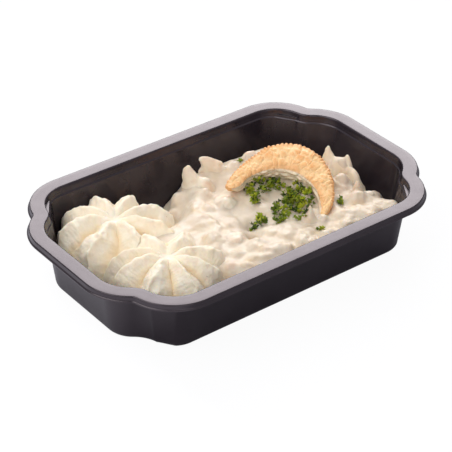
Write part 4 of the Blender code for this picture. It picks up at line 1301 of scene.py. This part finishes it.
def make_parsley(name, finish, rows=6, columns=19):
    """A heap: leaflets placed evenly in an oval, stacked higher at its middle, tipped outwards and turned at
    random.
    """
    (cx, cy), (a, b), turn, count, high = PARSLEY[name]
    seeds = np.random.default_rng(sum(map(ord, name)))
    shape = leaflets(seeds, count, rows, columns)
    around, share = seeds.uniform(0, 2 * math.pi, count), np.sqrt(seeds.uniform(0, 1, count))
    u, v = a * share * np.cos(around), b * share * np.sin(around)
    t = math.radians(turn)
    x = (cx + u * math.cos(t) - v * math.sin(t)) * MM
    y = (cy + u * math.sin(t) + v * math.cos(t)) * MM
    layer = seeds.uniform(0, 1, count) * np.clip(1.15 - share**2, 0.1, 1)
    z = sauce_top(x, y) + (0.3 + high * 0.75 * layer) * MM
    facing = seeds.uniform(0, 2 * math.pi, count)
    tip = np.radians(seeds.uniform(15, 100, count))
    roll = np.radians(seeds.uniform(-50, 50, count))
    out = np.stack([np.cos(facing) * np.cos(tip), np.sin(facing) * np.cos(tip), np.sin(tip) * 0.8], -1)
    out /= np.linalg.norm(out, axis=1, keepdims=True)
    side = np.cross(out, np.stack([0 * roll, np.sin(roll), np.cos(roll)], -1))
    side /= np.linalg.norm(side, axis=1, keepdims=True)
    frame_axes = np.stack([side, out, np.cross(side, out)], 1)
    placed = np.einsum("nsrck,nkj->nsrcj", shape, frame_axes)
    placed += np.stack([x, y, z], -1)[:, None, None, None, :]
    # Tone differs at random by leaflet, plus painted light: leaflets higher in the heap get a lighter tone.
    tone = seeds.uniform(0, 1, (count, 1, 1, 1)) * 0.8 + 0.2 * layer[:, None, None, None]
    tone = np.broadcast_to(tone, placed.shape[:-1])
    rim = np.broadcast_to(np.linspace(0, 1, rows)[None, None, :, None], placed.shape[:-1])
    faces = [leaflet_faces(count, rows, columns)]
    nodes = () if "flake" in name else ("parsley_" + name,)
    return make_piece(
        "chopped_" + name, placed.reshape(-1, 3), faces, finish, "parsley_leaf", nodes, tone=tone, rim=rim
    )


# %% The parsley's finish


def parsley_leaf():
    """Deep to yellow-green by leaflet, with painted shade and painted light in the tone, paler veins and
    light coming through.
    """
    made, nodes, links, shader = new_material("parsley_leaf")
    # The near-black first stop stands for the shade inside the heaps: painted shade.
    stops = [
        (0.1, (0.02, 0.045, 0.001)), (0.4, (0.12, 0.17, 0.003)), (0.75, (0.36, 0.40, 0.008)),
        (1.0, (0.66, 0.66, 0.05)),
    ]
    tone = ramp(nodes, links, attribute(nodes, "tone"), stops)
    vein = object_noise(nodes, links, 1500.0, 2.0)
    pale = spread(nodes, links, vein.outputs["Fac"], 0.55, 0.75, 0.0, 0.4)
    links.new(mix(nodes, links, pale, tone, (0.30, 0.36, 0.04)), shader.inputs["Base Color"])
    set_depth(shader, 0.15, (0.5, 1.0, 0.1), 0.5 * MM)
    add_grain(nodes, links, shader, 1500.0, 4200.0, 0.0002, 0.5, (0.32, 0.5))
    return made


leaf_finish = parsley_leaf()
for name in PARSLEY:
    make_parsley(name, leaf_finish)

# %% [markdown]
# ## Floor, light and camera
# A plain white floor, a large soft light behind the tray that gives the flange its pale sheen, a softer one
# above and to the left, a weak one in front, and a camera with the long lens of a product photo. To the
# camera the floor is mostly glow, so that it stays an even white. To other rays it is a dimmer grey, painted
# shade, and to the left of the tray it glows for the tray too, though it is no lamp: painted light that
# gives the outer walls their grey sheen.

# %% Floor and light
FLOOR_HALF = 1.6
FLOOR_GLOW = 1.1
GLOW_SEEN = 0.86  # share of glow that the camera sees
REFLECTION_GLOW = 0.6  # share of glow of the part left of the tray, painted light for the tray's reflections
REFLECTION_GLOW_EDGE = (-0.09, -0.14)  # X where the painted glow for reflections starts to show, and where it is full


def white_floor():
    """A very pale floor that shows an even white; in reflections it is a dimmer grey, painted shade, and
    glows to the left, painted light.
    """
    made, nodes, links, shader = new_material("white_floor")
    place, apart = nodes.new("ShaderNodeTexCoord"), nodes.new("ShaderNodeSeparateXYZ")
    links.new(place.outputs["Object"], apart.inputs[0])
    # For reflections only: painted shade as a dim grey floor, and painted light as a pale floor left of the
    # tray.
    side = spread(nodes, links, apart.outputs["X"], *REFLECTION_GLOW_EDGE)
    links.new(mix(nodes, links, side, (0.36, 0.36, 0.39), (0.86, 0.85, 1.0)), shader.inputs["Base Color"])
    shader.inputs["Roughness"].default_value = 0.9
    glow = nodes.new("ShaderNodeEmission")
    glow.inputs["Color"].default_value = (1.0, 1.0, 1.0, 1.0)
    glow.inputs["Strength"].default_value = FLOOR_GLOW
    seen, blend = nodes.new("ShaderNodeLightPath"), nodes.new("ShaderNodeMixShader")
    # Left of the tray the floor glows for every ray, though it is no lamp: painted light on the tray's outer
    # walls.
    painted_glow, share = nodes.new("ShaderNodeMath"), nodes.new("ShaderNodeMath")
    painted_glow.operation, share.operation = "MULTIPLY", "MAXIMUM"
    links.new(side, painted_glow.inputs[0])
    painted_glow.inputs[1].default_value = REFLECTION_GLOW
    links.new(painted_glow.outputs[0], share.inputs[0])
    camera_ray = spread(nodes, links, seen.outputs["Is Camera Ray"], 0.0, 1.0, 0.0, GLOW_SEEN)
    links.new(camera_ray, share.inputs[1])
    links.new(share.outputs[0], blend.inputs[0])
    links.new(shader.outputs[0], blend.inputs[1])
    links.new(glow.outputs[0], blend.inputs[2])
    links.new(blend.outputs[0], nodes["Material Output"].inputs["Surface"])
    return made


def make_floor():
    """One square just under the tray, left out of the object."""
    corners = np.array([(-1, -1, 0), (1, -1, 0), (1, 1, 0), (-1, 1, 0)]) * FLOOR_HALF - (0, 0, 0.0002)
    floor = make_piece("floor", corners, [np.array([[0, 1, 2, 3]])])
    floor.data.materials.append(white_floor())


def soft_light(name, place, size, power, colour=(1.0, 1.0, 1.0)):
    """A square area light at a place, turned to the tray."""
    light = bpy.data.lights.new(name, "AREA")
    light.shape, light.size, light.energy, light.color = "SQUARE", size, power, colour
    holder = bpy.data.objects.new(name, light)
    turned = (-Vector(place)).to_track_quat("-Z", "Y").to_matrix().to_4x4()
    holder.matrix_world = Matrix.Translation(place) @ turned
    bpy.context.scene.collection.objects.link(holder)


def make_world(colour, strength):
    """An even light from all round."""
    world = bpy.data.worlds.new("studio")
    world.use_nodes = True
    world.node_tree.nodes["Background"].inputs["Color"].default_value = (*colour, 1.0)
    world.node_tree.nodes["Background"].inputs["Strength"].default_value = strength
    bpy.context.scene.world = world


make_floor()
make_world((0.96, 0.95, 1.0), 0.5)
soft_light("back_softbox", (0.95, 1.25, 1.1), 1.3, 26.0, (1.0, 0.97, 0.98))
soft_light("top_left_softbox", (-1.2, 0.2, 1.5), 1.5, 18.0)
soft_light("front_fill", (-0.6, -1.6, 1.2), 1.2, 6.0)
bpy.context.scene.view_settings.view_transform = "Standard"

# %% Camera
CAMERA_TURN = -38.15
CAMERA_RISE = 33.44
CAMERA_ROLL = 0.59
CAMERA_DISTANCE = 0.958
CAMERA_SHIFT = (0.00158, 0.01777)
FOCAL_LENGTH = 135.84


def make_camera():
    """Looks at the rim's middle from a turn and a rise, moved a little right and up in its own plane."""
    turn, rise, roll = (math.radians(a) for a in (CAMERA_TURN, CAMERA_RISE, CAMERA_ROLL))
    back = Vector((math.sin(turn) * math.cos(rise), -math.cos(turn) * math.cos(rise), math.sin(rise)))
    level = Vector((math.cos(turn), math.sin(turn), 0.0))
    upright = back.cross(level)
    right = level * math.cos(roll) + upright * math.sin(roll)
    up = upright * math.cos(roll) - level * math.sin(roll)
    camera = bpy.data.cameras.new("camera")
    camera.sensor_width, camera.lens = 36.0, FOCAL_LENGTH
    holder = bpy.data.objects.new("camera", camera)
    place = Matrix((right, up, back)).transposed().to_4x4()
    eye = Vector((0, 0, TRAY_HEIGHT)) + back * CAMERA_DISTANCE
    place.translation = eye - right * CAMERA_SHIFT[0] - up * CAMERA_SHIFT[1]
    holder.matrix_world = place
    bpy.context.scene.collection.objects.link(holder)
    bpy.context.scene.camera = holder


make_camera()
